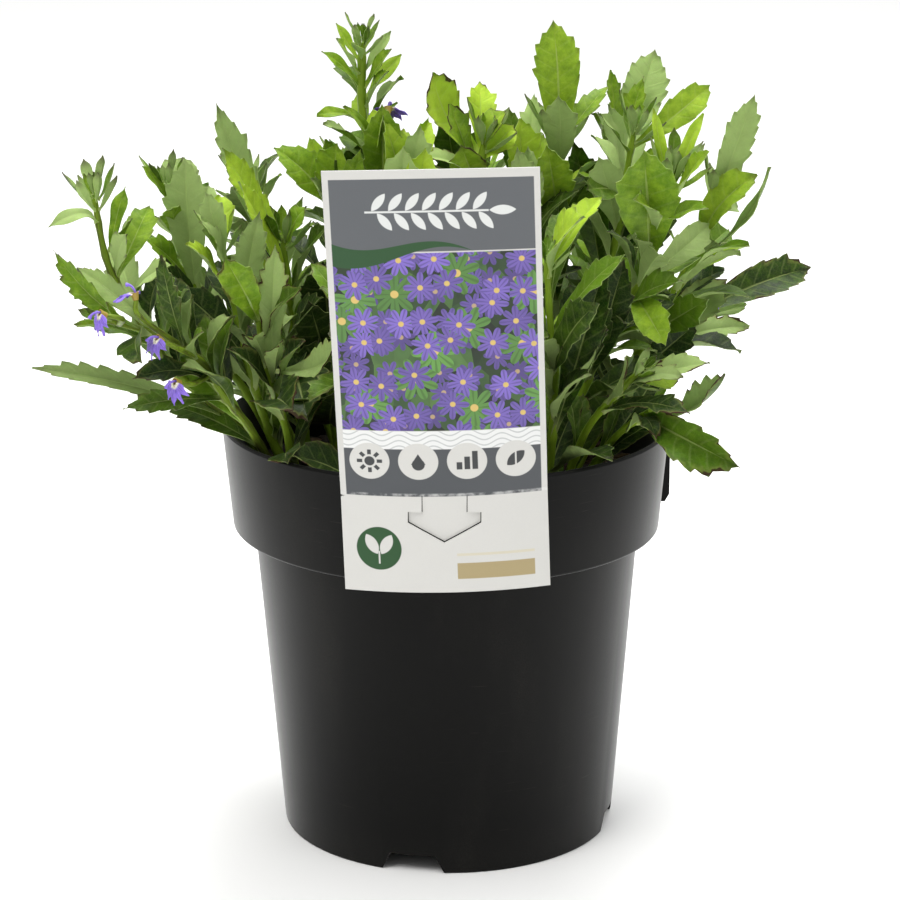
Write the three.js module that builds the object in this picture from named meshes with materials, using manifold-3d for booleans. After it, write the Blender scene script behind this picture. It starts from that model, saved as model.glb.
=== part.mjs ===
// Potted fan flower: leafy stems and a few violet fan flowers in a moulded 180 mm nursery pot,
// with a card label hooked on the front of the rim.
// Millimetres, +Z up, the origin at the middle of the pot's foot, the front towards -Y.
import * as THREE from 'three';
import { mergeVertices } from 'three/addons/utils/BufferGeometryUtils.js';
import Module from 'manifold-3d';

const wasm = await Module();
wasm.setup();

// Pot
const potHeight = 168;
const footRadius = 66.9;
const neckRadius = 77.6;
const rimRadius = 90;
const rimFoot = { z: 125.4, radius: 86 };
const wall = 1.8;
const floorRaise = 8;
const potSides = 36;
const notch = { count: 4, first: -12, top: 18, bottom: 26, height: 7.4 };
const drain = { count: 4, first: 33, radius: 6, reach: 50 };
const pocket = { azimuths: [0, 100], wide: 17, proud: 2, top: 164, bottom: 130.5, bevel: 1.2, slot: 1 };

// Soil
const soilTop = 143;
const soilGap = 0.4;
const soilSides = 24;
const soilBump = 1.6;

// Label card
const card = { wide: 77, thick: 0.8, foot: 125.4, crease: 163.5, head: 290.5 };
const cardLean = { foot: -93.6, crease: -94, head: -119, shift: -6.1, bow: 6.5 };
const arrow = { neck: 16.7, shoulder: 27, top: 163, throat: 156.5, side: 152.5, tip: 145, slit: 0.5 };

// Growth
const gap = 0.8;
const stemSides = 5;
const stemRadius = 1.9;
const stemDepth = 14;
const bladeThick = 1.5;
const toothDepth = 0.24;
const bladeStations = [[47, [0.26, 0.44, 0.6, 0.75, 0.9]], [18, [0.34, 0.6, 0.82]], [0, [0.5]]];
const widest = 0.66;
const golden = 137.5;
const placedWider = 1.2;
const rootSunk = 0.4;
const budStart = 0.93;
const budRings = [[-6, 2.2], [-2.5, 2.7], [1.5, 2.2], [4, 1.3]];
const soilHole = 0.45;
const petal = { turn: 34, half: 12, long: 9, valley: 3, thick: 0.8, droop: 2 };

// Blades turn their upper side a little towards the light that falls from the front.
const seen = new THREE.Vector3(0, -0.8, 0.6);

function point(x, y, z) {
  return new THREE.Vector3(x, y, z);
}

function mix(a, b, t) {
  return a + (b - a) * t;
}

function radians(degrees) {
  return (degrees * Math.PI) / 180;
}

function around(radius, azimuth, z) {
  const a = radians(azimuth);
  return point(radius * Math.sin(a), -radius * Math.cos(a), z);
}

// A repeatable draw between 0 and 1.
function seeded(seed) {
  let state = (seed * 7919 + 11) % 2147483647;
  return () => {
    state = (state * 16807) % 2147483647;
    return state / 2147483647;
  };
}

// A closed mesh as a solid, turned so that its faces point out.
function solid(geometry) {
  const bare = geometry.clone();
  bare.deleteAttribute('normal');
  bare.deleteAttribute('uv');
  const merged = mergeVertices(bare, 1e-4);
  const vertProperties = new Float32Array(merged.attributes.position.array);
  const kept = [];
  const index = merged.index.array;
  let volume = 0;
  const corner = (i) => point(...vertProperties.subarray(3 * i, 3 * i + 3));
  for (let i = 0; i < index.length; i += 3) {
    const [a, b, c] = index.slice(i, i + 3);
    if (a === b || b === c || c === a) continue;
    volume += corner(a).dot(corner(b).cross(corner(c)));
    kept.push(a, b, c);
  }
  if (volume < 0) kept.reverse();
  return new wasm.Manifold(new wasm.Mesh({ numProp: 3, vertProperties, triVerts: new Uint32Array(kept) }));
}

function geometryOf(body) {
  const mesh = body.getMesh();
  const geometry = new THREE.BufferGeometry();
  geometry.setAttribute('position', new THREE.BufferAttribute(new Float32Array(mesh.vertProperties), 3));
  geometry.setIndex(new THREE.BufferAttribute(new Uint32Array(mesh.triVerts), 1));
  geometry.computeVertexNormals();
  return geometry;
}

function fuse(bodies) {
  return bodies.reduce((whole, next) => whole.add(next));
}

// A closed skin over rings of equal count, which may close on a single point at either end.
// Neighbouring strips take opposite diagonals, so that both faces of a thin blade split alike.
// A spike pulls the field between two rings, from its first corner, out to a point of its own.
function loft(rings, { tip, root, spikes = [] } = {}) {
  const count = rings[0].length;
  const points = rings.flat();
  const faces = [];
  for (let i = 0; i + 1 < rings.length; i += 1) {
    for (let j = 0; j < count; j += 1) {
      const a = i * count + j;
      const b = i * count + ((j + 1) % count);
      const spike = spikes.find((s) => s.corner === a);
      if (spike) {
        const p = points.push(spike.tip) - 1;
        faces.push(a, b, p, b, b + count, p, b + count, a + count, p, a + count, a, p);
      } else if (j % 2 === 0) faces.push(a, b, b + count, a, b + count, a + count);
      else faces.push(a, b, a + count, b, b + count, a + count);
    }
  }
  const last = (rings.length - 1) * count;
  const head = tip ? points.push(tip) - 1 : 0;
  const foot = root ? points.push(root) - 1 : 0;
  for (let j = 0; j < count; j += 1) {
    const turn = (j + 1) % count;
    const between = j > 0 && j + 1 < count;
    if (tip) faces.push(last + j, last + turn, head);
    else if (between) faces.push(last, last + j, last + turn);
    if (root) faces.push(turn, j, foot);
    else if (between) faces.push(0, turn, j);
  }
  const geometry = new THREE.BufferGeometry();
  geometry.setAttribute('position', new THREE.Float32BufferAttribute(points.flatMap((p) => p.toArray()), 3));
  geometry.setIndex(faces);
  return solid(geometry);
}

// A smooth curve through the points of a path, with t from 0 to 1.
function pathPoint(path, t) {
  const span = Math.min(Math.max(t, 0), 1) * (path.length - 1);
  const i = Math.min(Math.floor(span), path.length - 2);
  const s = span - i;
  const [b, c] = [path[i], path[i + 1]];
  const a = path[i - 1] ?? b;
  const d = path[i + 2] ?? c;
  return b.clone().multiplyScalar(2)
    .addScaledVector(c.clone().sub(a), s)
    .addScaledVector(a.clone().multiplyScalar(2).addScaledVector(b, -5).addScaledVector(c, 4).sub(d), s * s)
    .addScaledVector(b.clone().multiplyScalar(3).sub(a).addScaledVector(c, -3).add(d), s * s * s)
    .multiplyScalar(0.5);
}

// A point on the straight runs between a shoot's rings, which its faceted body follows.
function chordPoint(path, t) {
  const runs = path.length - 1;
  const run = Math.min(Math.floor((t / budStart) * runs), runs - 1);
  const [from, to] = [(budStart * run) / runs, (budStart * (run + 1)) / runs];
  return pathPoint(path, from).lerp(pathPoint(path, to), (t - from) / (to - from));
}

// Where a blade leaves a shoot: a little inside its skin, on the side that faces the blade's tip.
function onSkin(path, where, way) {
  const stalk = pathWay(path, where);
  const radius = stemRadius * mix(1, 0.6, where) * rootSunk;
  const centre = where < budStart ? chordPoint(path, where) : pathPoint(path, where);
  return centre.addScaledVector(square(stalk, way), radius);
}

function pathWay(path, t) {
  const step = 0.01;
  return pathPoint(path, Math.min(t + step, 1)).sub(pathPoint(path, Math.max(t - step, 0))).normalize();
}

function square(direction, hint) {
  return hint.clone().addScaledVector(direction, -hint.dot(direction)).normalize();
}

// A path that starts at the soil's top, with a straight foot added below it.
function rooted(list) {
  const path = list.map((p) => point(...p));
  const way = path[1].clone().sub(path[0]).normalize();
  return [path[0].clone().addScaledVector(way, -stemDepth), ...path];
}

// The j-th corner direction of a round section that looks along a way.
function cornerWay(way, j) {
  const side = square(way, point(0.3, -1, 0.1));
  return side.applyAxisAngle(way, (2 * Math.PI * j) / stemSides);
}

function ringAt(centre, way, radius) {
  const corner = (_, j) => centre.clone().addScaledVector(cornerWay(way, j), radius);
  return Array.from({ length: stemSides }, corner);
}

// A round shoot along a path, thinner towards its end.
function shootBody(path, radius) {
  const rings = [];
  for (let i = 0; i <= path.length; i += 1) {
    const t = i / path.length;
    rings.push(ringAt(pathPoint(path, t), pathWay(path, t), radius * mix(1, 0.6, t)));
  }
  return loft(rings);
}

// A leafy stem's own shoot, which swells at its head into a bud that the young leaves stand out of.
function stemBody(stem) {
  const rings = [];
  for (let i = 0; i < stem.path.length; i += 1) {
    const t = (budStart * i) / (stem.path.length - 1);
    rings.push(ringAt(pathPoint(stem.path, t), pathWay(stem.path, t), stemRadius * mix(1, 0.6, t)));
  }
  const first = rings.length;
  const way = pathWay(stem.path, 1);
  const head = pathPoint(stem.path, 1);
  for (const [along, radius] of budRings) {
    rings.push(ringAt(head.clone().addScaledVector(way, along), way, radius));
  }
  const corner = (leaf) => (first + leaf.band) * stemSides + leaf.side;
  const spikes = youngLeaves(stem).map((leaf) => ({ corner: corner(leaf), tip: leaf.tip }));
  const [, long] = stem.bud;
  return loft(rings, { tip: head.clone().addScaledVector(way, long * 0.5), spikes });
}

// The young leaves of a bud: lowest first, each on its own field of the swollen head.
function youngLeaves({ path, bud: [count, long] }) {
  const way = pathWay(path, 1);
  const head = pathPoint(path, 1);
  return Array.from({ length: count }, (_, i) => {
    const step = i / count;
    const band = Math.floor(step * (budRings.length - 1));
    const side = (2 * i) % stemSides;
    const open = radians(mix(48, 22, step));
    const [low, high] = [budRings[band], budRings[band + 1]];
    const out = cornerWay(way, side + 0.5);
    const root = head.clone().addScaledVector(way, (low[0] + high[0]) / 2).addScaledVector(out, low[1] * 0.8);
    const lean = way.clone().multiplyScalar(Math.cos(open)).addScaledVector(out, Math.sin(open));
    return { band, side, root, tip: root.clone().addScaledVector(lean, long * mix(1, 0.8, step)) };
  });
}

// The plain hole in the soil round a stem's straight foot.
function footHole([foot, top, next]) {
  const way = top.clone().sub(foot).normalize();
  const over = next.clone().sub(top).normalize();
  const radius = stemRadius + soilHole;
  return loft([
    ringAt(foot.clone().addScaledVector(way, -soilHole), way, radius),
    ringAt(top.clone().addScaledVector(over, 8), way, radius),
  ]);
}

// How wide a blade is along its length: narrow foot, widest past the middle, blunt tip.
function spread(t) {
  const rise = Math.sin((Math.PI / 2) * Math.min(1, t / widest) ** 1.5);
  const fall = Math.max(0, (t - widest) / (1 - widest)) ** 2;
  return 0.16 + 0.84 * rise - 0.62 * fall;
}

// The line of a blade's midrib: from its root to its tip, arched towards its upper side.
function midrib(blade, t) {
  const { root, tip, upper, arch } = blade;
  const lift = 4 * t * (1 - t) * arch * root.distanceTo(tip);
  return root.clone().lerp(tip, t).addScaledVector(upper, lift);
}

// A leaf: a folded blade with coarse forward teeth beyond its middle.
function leafBody(blade, extra) {
  const { wide, fold } = blade;
  const long = blade.root.distanceTo(blade.tip);
  const stations = bladeStations.find(([least]) => long > least)[1];
  const rings = stations.map((t, i) => {
    const centre = midrib(blade, t);
    const way = midrib(blade, t + 0.02).sub(midrib(blade, t - 0.02)).normalize();
    const top = square(way, blade.upper);
    const across = way.clone().cross(top);
    const tooth = i > 0 ? toothDepth * (i % 2 ? 1 : -1) : 0;
    const half = (wide / 2) * spread(t);
    const left = half * (1 + tooth) + extra;
    const right = half * (1 - tooth) + extra;
    const thick = mix(bladeThick, bladeThick * 0.7, t) / 2 + extra;
    return [
      centre.clone().addScaledVector(across, -left).addScaledVector(top, fold * left),
      centre.clone().addScaledVector(top, thick),
      centre.clone().addScaledVector(across, right).addScaledVector(top, fold * right),
      centre.clone().addScaledVector(top, -thick),
    ];
  });
  const beyond = blade.tip.clone().sub(blade.root).normalize().multiplyScalar(extra * 1.5);
  return loft(rings, { tip: blade.tip.clone().add(beyond), root: blade.root });
}

// The ways in which a blade is bent clear of a neighbour: turn about its root, lift, and length.
const bends = [
  [0, 0, 1], [10, 0, 1], [-10, 0, 1], [0, 10, 1], [0, -10, 1], [12, 12, 0.92], [-12, 12, 0.92],
  [14, -12, 0.85], [-14, -12, 0.85], [0, 20, 0.8], [24, 0, 0.75], [-24, 0, 0.75], [0, 0, 0.6],
];

function bent(blade, [turn, lift, length]) {
  const way = blade.tip.clone().sub(blade.root);
  const across = way.clone().normalize().cross(blade.upper).normalize();
  way.applyAxisAngle(blade.upper, radians(turn)).applyAxisAngle(across, radians(lift)).multiplyScalar(length);
  return {
    ...blade,
    tip: blade.root.clone().add(way),
    upper: square(way.clone().normalize(), blade.upper),
    wide: blade.wide * mix(1, length, 0.5),
  };
}

// Leafy stems. A path runs from its foot in the soil, or on its parent shoot, to its growing tip.
// placed: leaves whose tips stand out, as [where on the path, tip x, y, z, width, arch].
// whorl: [how many, from, to, longest, width] leaves set round the shoot by the golden angle.
// bud: how many young leaves close the shoot, and how long they are.
const stems = [
  {
    name: 'stem_left_rosette',
    path: [[-64, -16, 144], [-85, -30, 176], [-103, -44, 196], [-115, -54, 218],
      [-127, -58, 242], [-132, -54, 267]],
    placed: [
      [0.93, -147, -75, 261, 5, 0.25], [0.8, -119, -70, 257, 8, 0.05], [0.8, -113, -38, 262, 9, 0.04],
      [0.95, -128, -50, 273, 6, 0], [0.86, -121, -50, 271, 5, 0], [0.35, -156, -66, 205, 10, 0.1],
      [0.72, -104, -84, 244, 9, 0.1], [0.55, -96, -74, 232, 10, 0.1], [0.62, -128, -22, 246, 10, 0.1],
    ],
    bud: [7, 17],
  },
  {
    name: 'stem_left_low',
    path: [[-60, -30, 144], [-70, -37, 162], [-77, -45, 177], [-85, -55, 191],
      [-93, -64, 207], [-106, -71, 218], [-126, -77, 226]],
    placed: [
      [0.9, -144, -90, 251, 9, 0.12], [0.84, -141, -76, 240, 7, 0.1], [0.78, -105, -84, 252, 9, 0.1],
      [0.5, -98, -86, 211, 8, 0.1], [0.62, -113, -92, 205, 8, 0.15], [0.56, -121, -78, 193, 6, 0.1],
      [0.88, -112, -98, 215, 9, 0.2], [0.7, -104, -46, 236, 9, 0.1],
    ],
    bud: [3, 14],
  },
  {
    name: 'stem_left_tall',
    path: [[-64, 2, 144], [-76, -4, 172], [-87, -8, 191], [-95, -12, 206],
      [-99, -14, 224], [-106, -13, 246], [-109, -10, 262]],
    placed: [
      [0.95, -117, -20, 273, 5, 0.05], [0.93, -103, 0, 273, 14, 0.03], [0.8, -94, 8, 261, 11, 0.03],
      [0.72, -116, -30, 247, 8, 0.05], [0.62, -113, -36, 238, 7, 0.1], [0.5, -118, 6, 226, 10, 0.15],
    ],
    whorl: [3, 0.4, 0.66, 36, 11],
    bud: [6, 16],
  },
  {
    name: 'stem_left_inner',
    path: [[-54, -28, 144], [-66, -29, 161], [-72, -30, 178], [-77, -32, 196],
      [-81, -34, 216], [-84, -33, 232], [-87, -32, 246]],
    placed: [
      [0.9, -91, -42, 267, 8, 0.04], [0.86, -93, -47, 261, 8, 0.04], [0.78, -98, -52, 250, 10, 0.05],
      [0.66, -79, -48, 264, 9, 0.04], [0.95, -88, -20, 262, 8, 0.04], [0.6, -104, -36, 229, 11, 0.12],
      [0.5, -88, -58, 222, 9, 0.12],
    ],
    whorl: [3, 0.34, 0.6, 38, 12],
    bud: [5, 15],
  },
  {
    name: 'stem_left_back',
    path: [[-54, 8, 144], [-61, 8, 173], [-63, 6, 198], [-63, 4, 219], [-65, 2, 240]],
    placed: [
      [0.86, -88, 0, 293, 10, -0.05], [0.8, -85, -12, 279, 11, 0.03], [0.7, -79, -18, 267, 11, 0.03],
      [0.95, -56, -2, 254, 8, 0.05], [0.75, -47, -18, 250, 9, 0.05], [0.55, -78, -20, 228, 10, 0.1],
      [0.5, -50, -18, 222, 12, 0.1],
    ],
    whorl: [3, 0.36, 0.7, 40, 13],
    bud: [5, 20],
  },
  {
    name: 'stem_centre_left',
    path: [[-44, 21, 144], [-48, 20, 178], [-47, 18, 211], [-45, 16, 236], [-44, 14, 256]],
    placed: [
      [0.9, -68, 10, 275, 13, 0.08], [0.95, -55, 20, 277, 7, 0], [0.92, -48, 10, 278, 8, 0],
      [0.88, -41, 4, 280, 15, 0.03], [0.8, -53, -2, 265, 9, 0.05], [0.7, -30, 2, 262, 11, 0.1],
    ],
    bud: [5, 16],
    whorl: [2, 0.45, 0.8, 36, 12],
  },
  {
    name: 'stem_left_front',
    path: [[-50, -41, 144], [-59, -46, 161], [-62, -50, 177], [-66, -56, 193],
      [-70, -60, 210], [-71, -60, 225]],
    placed: [
      [0.95, -82, -76, 249, 11, 0.05], [0.7, -64, -66, 252, 8, 0.04], [0.75, -43, -86, 219, 10, -0.2],
      [0.55, -52, -88, 200, 15, 0.15], [0.35, -61, -72, 170, 12, 0.15], [0.6, -82, -70, 214, 9, 0.1],
      [0.85, -56, -72, 238, 9, 0.06],
    ],
    bud: [5, 15],
  },
  {
    name: 'stem_tall',
    path: [[-18, 10, 144], [-21, 8, 181], [-23, 4, 215], [-25, 0, 248], [-28, -4, 272],
      [-33, -4, 290], [-33, -4, 318]],
    placed: [
      [0.82, -50, -20, 293, 5, 0.12], [0.9, -48, -10, 316, 4, 0.05], [0.93, -42, -18, 322, 5, 0],
      [0.95, -43, 0, 325, 4, 0], [0.97, -29, 5, 323, 4, 0], [0.93, -22, 0, 322, 4, 0],
      [0.9, -22, -12, 317, 6, 0], [0.88, -18, 6, 312, 5, 0], [0.86, -23, -14, 309, 6, 0.05],
      [0.96, -35, -16, 320, 5, 0], [0.7, -24, -14, 294, 11, 0.05], [0.74, -38, -18, 300, 5, 0.1],
      [0.66, -44, 8, 280, 10, 0.1], [0.6, -36, -24, 262, 12, 0.1],
    ],
    bud: [6, 12],
  },
  {
    name: 'stem_centre_curled',
    path: [[7, 0, 144], [8, 0, 203], [9, 0, 240], [12, -2, 264], [14, -4, 280]],
    placed: [
      [0.9, -5, -8, 307, 15, -0.16], [0.93, 22, -4, 292, 11, 0.12], [0.9, 18, 8, 301, 9, 0.03],
      [0.8, 1, -8, 295, 8, 0.03], [0.8, -10, -22, 277, 6, 0.1], [0.7, 26, -16, 262, 12, 0.1],
    ],
    bud: [5, 18],
    whorl: [2, 0.45, 0.75, 38, 13],
  },
  {
    name: 'stem_centre_front',
    path: [[-9, -15, 144], [-12, -15, 207], [-15, -14, 243], [-18, -14, 262]],
    placed: [
      [0.85, -28, -14, 290, 11, 0.05], [0.9, -13, -18, 291, 8, 0.03], [0.95, -22, 0, 284, 7, 0],
      [0.8, -17, -30, 282, 12, 0.06], [0.88, -7, 0, 289, 7, 0.03],
    ],
    bud: [4, 15],
    whorl: [2, 0.5, 0.78, 40, 13],
  },
  {
    name: 'stem_centre_right',
    path: [[26, 6, 144], [29, 5, 194], [28, 6, 230], [30, 8, 257]],
    placed: [
      [0.85, 28, 0, 288, 13, 0.03], [0.8, 28, -14, 278, 9, 0.03], [0.92, 37, 12, 280, 9, 0.03],
      [0.95, 34, 26, 294, 7, 0], [0.75, 44, -6, 264, 10, 0.1],
    ],
    bud: [5, 17],
    whorl: [2, 0.5, 0.7, 38, 13],
  },
  {
    name: 'stem_right_tall',
    path: [[39, 20, 144], [43, 22, 190], [44, 22, 227], [44, 20, 256], [42, 18, 277]],
    placed: [
      [0.92, 41, 14, 324, 17, 0.02], [0.97, 51, 24, 312, 4, 0], [0.98, 58, 34, 307, 5, 0],
      [0.93, 64, 40, 294, 7, 0.05], [0.86, 43, 4, 296, 12, 0.03], [0.75, 37, 0, 268, 6, 0.05],
      [0.7, 54, 4, 262, 11, 0.08],
    ],
    bud: [5, 22],
    whorl: [2, 0.45, 0.65, 40, 13],
  },
  {
    name: 'stem_right_pale',
    path: [[49, 40, 144], [58, 44, 180], [63, 46, 209], [66, 48, 238], [68, 50, 265]],
    placed: [
      [0.93, 84, 60, 306, 14, 0.03], [0.9, 78, 48, 297, 7, 0.02], [0.95, 66, 42, 300, 6, 0.02],
      [0.96, 71, 62, 290, 8, 0.05], [0.85, 60, 28, 286, 10, 0.05], [0.75, 84, 34, 262, 12, 0.1],
    ],
    bud: [5, 18],
    whorl: [2, 0.45, 0.65, 38, 13],
  },
  {
    name: 'stem_right_front',
    path: [[41, -19, 144], [49, -20, 170], [55, -22, 190], [63, -26, 208], [73, -30, 227],
      [80, -33, 246], [85, -34, 271]],
    placed: [
      [0.8, 73, -52, 285, 23, 0.04], [0.97, 78, -30, 297, 4, 0], [0.94, 96, -34, 296, 5, 0.05],
      [0.9, 97, -46, 284, 6, 0.03], [0.85, 71, -60, 270, 7, 0.05], [0.88, 97, -52, 264, 8, 0.1],
      [0.74, 102, -14, 250, 10, 0.1], [0.62, 88, -52, 236, 9, 0.1], [0.5, 52, -52, 232, 11, 0.1],
    ],
    whorl: [2, 0.35, 0.6, 38, 12],
    bud: [7, 20],
  },
  {
    name: 'stem_right_branch',
    path: [[52, 9, 144], [68, 8, 177], [82, 4, 203], [94, 0, 228], [100, -2, 242],
      [104, -4, 259]],
    placed: [
      [0.88, 118, -10, 299, 10, 0.04], [0.8, 119, -16, 269, 12, 0.15], [0.7, 123, -22, 273, 4, -0.12],
      [0.6, 108, -32, 252, 5, 0.1], [0.93, 114, 4, 252, 7, 0.1], [0.66, 112, 20, 240, 11, 0.1],
      [0.5, 100, -26, 222, 10, 0.1],
    ],
    whorl: [3, 0.35, 0.6, 36, 12],
    bud: [5, 18],
  },
  {
    name: 'stem_right_long_leaf',
    path: [[56, 28, 144], [74, 40, 169], [87, 50, 186], [101, 58, 199]],
    placed: [
      [0.9, 153.5, 80, 212, 12, 0.06], [0.95, 124, 62, 203, 8, -0.1], [0.7, 124, 46, 194, 9, 0.1],
      [0.85, 108, 76, 222, 10, 0.06], [0.6, 84, 66, 204, 10, 0.1], [0.65, 98, 34, 214, 11, 0.08],
    ],
    bud: [4, 14],
  },
  {
    name: 'stem_right_lime',
    path: [[36, -47, 144], [39, -51, 162], [40, -56, 182], [40, -60, 203], [38, -62, 226],
      [37, -62, 246]],
    placed: [
      [0.93, 50, -76, 265, 17, 0.1], [0.95, 57, -52, 268, 8, 0.04], [0.75, 64, -80, 252, 8, 0.08],
      [0.65, 54, -82, 234, 14, 0.08], [0.5, 52, -84, 208, 9, 0.08], [0.55, 50, -88, 219, 9, -0.1],
      [0.85, 44, -42, 262, 10, 0.06],
    ],
    whorl: [3, 0.3, 0.7, 40, 13],
    bud: [4, 14],
  },
  {
    name: 'stem_right_middle',
    path: [[42, 4, 144], [56, 8, 190], [66, 10, 235], [70, 10, 262], [73, 10, 281]],
    placed: [
      [0.92, 103, 14, 299, 11, 0.1], [0.9, 59, 0, 290, 5, 0.02], [0.8, 86, -4, 276, 10, 0.06],
      [0.75, 54, -8, 262, 11, 0.08], [0.68, 92, 22, 252, 12, 0.1],
    ],
    whorl: [4, 0.4, 0.75, 40, 13],
    bud: [6, 17],
  },
  {
    name: 'stem_right_low',
    path: [[44, -36, 144], [48, -41, 160], [54, -48, 177], [63, -56, 191], [72, -62, 202]],
    placed: [
      [0.8, 97, -72, 210, 9, 0.06], [0.88, 98, -76, 198, 7, 0.08], [0.7, 90, -82, 192, 7, 0.1],
      [0.93, 88, -52, 198, 8, 0.06], [0.75, 66, -78, 212, 9, 0.06], [0.55, 74, -34, 204, 11, 0.1],
    ],
    bud: [4, 14],
  },
  {
    name: 'stem_right_over_rim',
    path: [[51, -27, 144], [58, -33, 159], [66, -43, 173], [77, -54, 185]],
    placed: [
      [0.92, 109, -84, 171, 17, 0.22], [0.85, 103, -62, 202, 13, -0.24], [0.6, 84, -22, 196, 10, 0.1],
      [0.8, 78, -84, 183, 10, 0.15],
    ],
    bud: [3, 12],
  },
  {
    name: 'stem_front_left',
    path: [[-24, -46, 144], [-28, -60, 180], [-32, -72, 215], [-34, -78, 242]],
    whorl: [6, 0.45, 0.95, 38, 12],
    bud: [5, 15],
  },
  {
    name: 'stem_front_right',
    path: [[6, -50, 144], [8, -62, 180], [12, -76, 215], [14, -82, 244]],
    whorl: [6, 0.45, 0.95, 38, 12],
    bud: [5, 15],
  },
  {
    name: 'stem_back_1',
    path: [[-60, 28, 144], [-78, 36, 175], [-96, 42, 204], [-110, 46, 232]],
    whorl: [7, 0.42, 0.95, 42, 13],
    bud: [5, 16],
  },
  {
    name: 'stem_back_2',
    path: [[-47, 44, 144], [-62, 58, 182], [-76, 70, 216], [-84, 78, 246]],
    whorl: [7, 0.4, 0.95, 44, 14],
    bud: [5, 17],
  },
  {
    name: 'stem_back_3',
    path: [[-20, 52, 144], [-30, 68, 185], [-40, 84, 222], [-44, 94, 250]],
    whorl: [7, 0.4, 0.95, 44, 14],
    bud: [5, 17],
  },
  {
    name: 'stem_back_4',
    path: [[9, 52, 144], [12, 72, 185], [14, 88, 220], [14, 98, 247]],
    whorl: [7, 0.4, 0.95, 44, 14],
    bud: [5, 17],
  },
  {
    name: 'stem_back_5',
    path: [[35, 62, 144], [46, 77, 182], [59, 91, 212], [67, 100, 236]],
    whorl: [7, 0.4, 0.95, 44, 14],
    bud: [5, 17],
  },
  {
    name: 'stem_back_6',
    path: [[-4, 28, 144], [-2, 38, 185], [2, 46, 225], [4, 50, 258]],
    whorl: [7, 0.5, 0.95, 42, 13],
    bud: [5, 17],
  },
  {
    name: 'stem_back_low',
    path: [[-40, 62, 144], [-50, 76, 178], [-62, 91, 193], [-73, 104, 206]],
    whorl: [7, 0.45, 0.95, 38, 12],
    bud: [4, 14],
  },
];

// Fan flowers: [stem, where on its path, middle of the fan, the way that the fan faces].
const blooms = [
  ['stem_left_low', 0.96, [-127, -92, 232], [-0.8, -0.4, 0.3]],
  ['stem_left_low', 0.8, [-115, -84, 238], [-0.2, 0.1, 0.95]],
  ['stem_left_low', 0.66, [-101, -84, 204], [-0.7, -0.6, 0.2]],
  ['stem_left_low', 0.74, [-107, -85, 221], [-0.75, -0.45, 0.5]],
  ['stem_tall', 0.68, [-23, -6, 293], [0.1, 0.6, 0.8]],
  ['stem_right_branch', 0.55, [106, 30, 212], [0.7, 0.65, 0.3]],
  ['stem_back_1', 0.7, [-112, 28, 214], [-0.9, 0.1, 0.3]],
  ['stem_back_3', 0.66, [-40, 104, 226], [-0.2, 0.9, 0.3]],
  ['stem_back_5', 0.68, [84, 98, 214], [0.7, 0.7, 0.3]],
];

// The leaves of one shoot, each with its root on the path, its tip and its upper side.
function bladesOf(shoot, seed) {
  const draw = seeded(seed);
  const list = [];
  for (const [where, x, y, z, wide, arch] of shoot.placed ?? []) {
    const tip = point(x, y, z);
    const root = onSkin(shoot.path, where, tip.clone().sub(pathPoint(shoot.path, where)));
    const way = tip.clone().sub(root).normalize();
    const grown = square(way, pathWay(shoot.path, where));
    const upper = square(way, grown.multiplyScalar(0.4).add(seen));
    upper.applyAxisAngle(way, radians(mix(-22, 22, draw())));
    list.push({ root, tip, upper, wide: wide * placedWider, arch, fold: mix(0.12, 0.4, draw()) });
  }
  const [count, from, to, longest, wide] = shoot.whorl ?? [0, 0, 0, 0, 0];
  for (let i = 0; i < count; i += 1) {
    const step = i / count;
    const where = mix(from, to, step);
    const long = longest * mix(1, 0.72, step) * mix(0.85, 1.1, draw());
    const stalk = pathWay(shoot.path, where);
    const side = square(stalk, point(1, 0.2, 0)).applyAxisAngle(stalk, radians(golden * i + 40 * draw()));
    const way = stalk.clone().applyAxisAngle(side, radians(mix(60, 34, step)));
    way.z = Math.max(way.z, 0);
    way.normalize();
    const root = onSkin(shoot.path, where, way);
    const tip = root.clone().addScaledVector(way, long);
    const upper = square(way, stalk);
    list.push({ root, tip, upper, wide: wide * mix(1, 0.8, step), arch: 0.1, fold: mix(0.15, 0.4, draw()) });
  }
  return list;
}

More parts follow.
